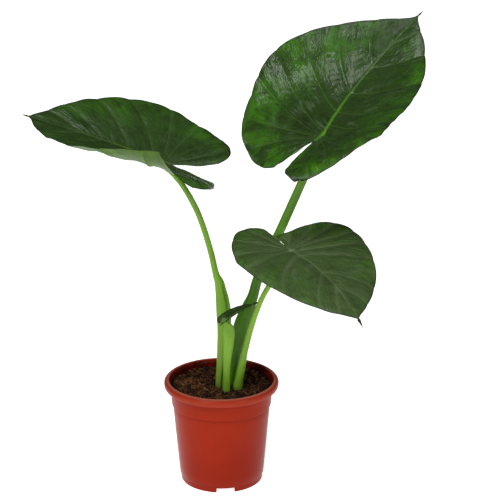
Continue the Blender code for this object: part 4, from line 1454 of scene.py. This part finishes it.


# A blade's upper face: dark, bright, vein and midrib colours, then glow (painted light by the margin),
# roughness, halo of the veins, gloss and the strength of its painted glints.
BLADE_LOOKS = {
    "left_leaf": (
        (0.036, 0.078, 0.018), (0.050, 0.165, 0.011), (0.085, 0.140, 0.045), (0.10, 0.20, 0.03),
        0.9, 0.30, 0.22, 0.36, 0.25,
    ),
    "upper_right_leaf": (
        (0.029, 0.062, 0.014), (0.046, 0.170, 0.006), (0.070, 0.150, 0.032), (0.10, 0.30, 0.016),
        1.35, 0.20, 0.10, 0.36, 0.55,
    ),
    "lower_right_leaf": (
        (0.062, 0.108, 0.032), (0.064, 0.160, 0.020), (0.115, 0.160, 0.070), (0.115, 0.175, 0.070),
        0.9, 0.38, 0.50, 0.50, 0.35,
    ),
    "small_leaf": (
        (0.016, 0.045, 0.006), (0.030, 0.085, 0.008), (0.07, 0.12, 0.03), (0.12, 0.20, 0.05),
        0.5, 0.36, 0.1, 0.12, 0.0,
    ),
}
# The spacing of a blade's rows, its columns, its seed and the length of its drip tip.
BLADE_MESHES = {
    "left_leaf": (0.0052, 84, 11, 0.007),
    "upper_right_leaf": (0.0050, 86, 23, 0.007),
    "lower_right_leaf": (0.0055, 80, 37, 0.012),
    "small_leaf": (0.014, 30, 41, 0.012),
}
# A stalk's colours: low, middle, top and the painted shade in its grooves.
STALK_LOOKS = {
    "left_leaf": ((0.165, 0.300, 0.026), (0.150, 0.320, 0.018), (0.140, 0.310, 0.022), (0.060, 0.170, 0.012)),
    # painted shade: this stalk stands in the shade, so all its colours are darker
    "upper_right_leaf": (
        (0.085, 0.225, 0.005), (0.050, 0.150, 0.004), (0.100, 0.225, 0.018), (0.040, 0.120, 0.010),
    ),
    "lower_right_leaf": (
        (0.150, 0.320, 0.022), (0.175, 0.350, 0.020), (0.180, 0.350, 0.026), (0.070, 0.180, 0.010),
    ),
    "small_leaf": (
        (0.150, 0.320, 0.022), (0.180, 0.365, 0.024), (0.170, 0.340, 0.026), (0.080, 0.200, 0.012),
    ),
}
# The shades of the soil's bits, from dark to light.
CRUMB_SHADES = ((0.008, 0.004, 0.002), (0.020, 0.009, 0.004), (0.050, 0.020, 0.008), (0.14, 0.055, 0.022))
FIBRE_SHADES = ((0.030, 0.012, 0.005), (0.120, 0.044, 0.016), (0.210, 0.082, 0.032), (0.34, 0.20, 0.09))
BARK_SHADES = ((0.020, 0.008, 0.004), (0.070, 0.025, 0.010), (0.150, 0.052, 0.018), (0.23, 0.095, 0.036))


def main():
    bpy.context.scene.view_settings.view_transform = "Standard"
    build_camera()
    build_studio()

    edge = blade_edge_material("leaf_edge")
    under = blade_under_material(
        "leaf_underside", (0.036, 0.085, 0.008), (0.070, 0.140, 0.013), (0.110, 0.190, 0.028))
    tops = {name: blade_top_material(f"{name}_top", *looks) for name, looks in BLADE_LOOKS.items()}
    for name, settings in BLADE_MESHES.items():
        blade = build_blade(name, [tops[name], under, edge], *settings)
        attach(blade, "root")
        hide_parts(f"{name}_blade")

    for number, (name, colours) in enumerate(STALK_LOOKS.items()):
        stalk = build_stalk(name, stalk_material(f"{name}_stalk_skin", *colours), 50 + number)
        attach(stalk, "root")
        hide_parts(f"{name}_stalk")

    pot = build_pot(pot_material())
    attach(pot, "root")
    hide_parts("pot")

    soil = build_soil(soil_material())
    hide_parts("soil")
    crumbs = build_crumbs(bit_material("crumb", CRUMB_SHADES))
    fibres = build_fibres(bit_material("fibre", FIBRE_SHADES))
    chips = build_chips(bit_material("bark", BARK_SHADES))
    for piece in (soil, crumbs, fibres, chips):
        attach(piece, "root")


main()
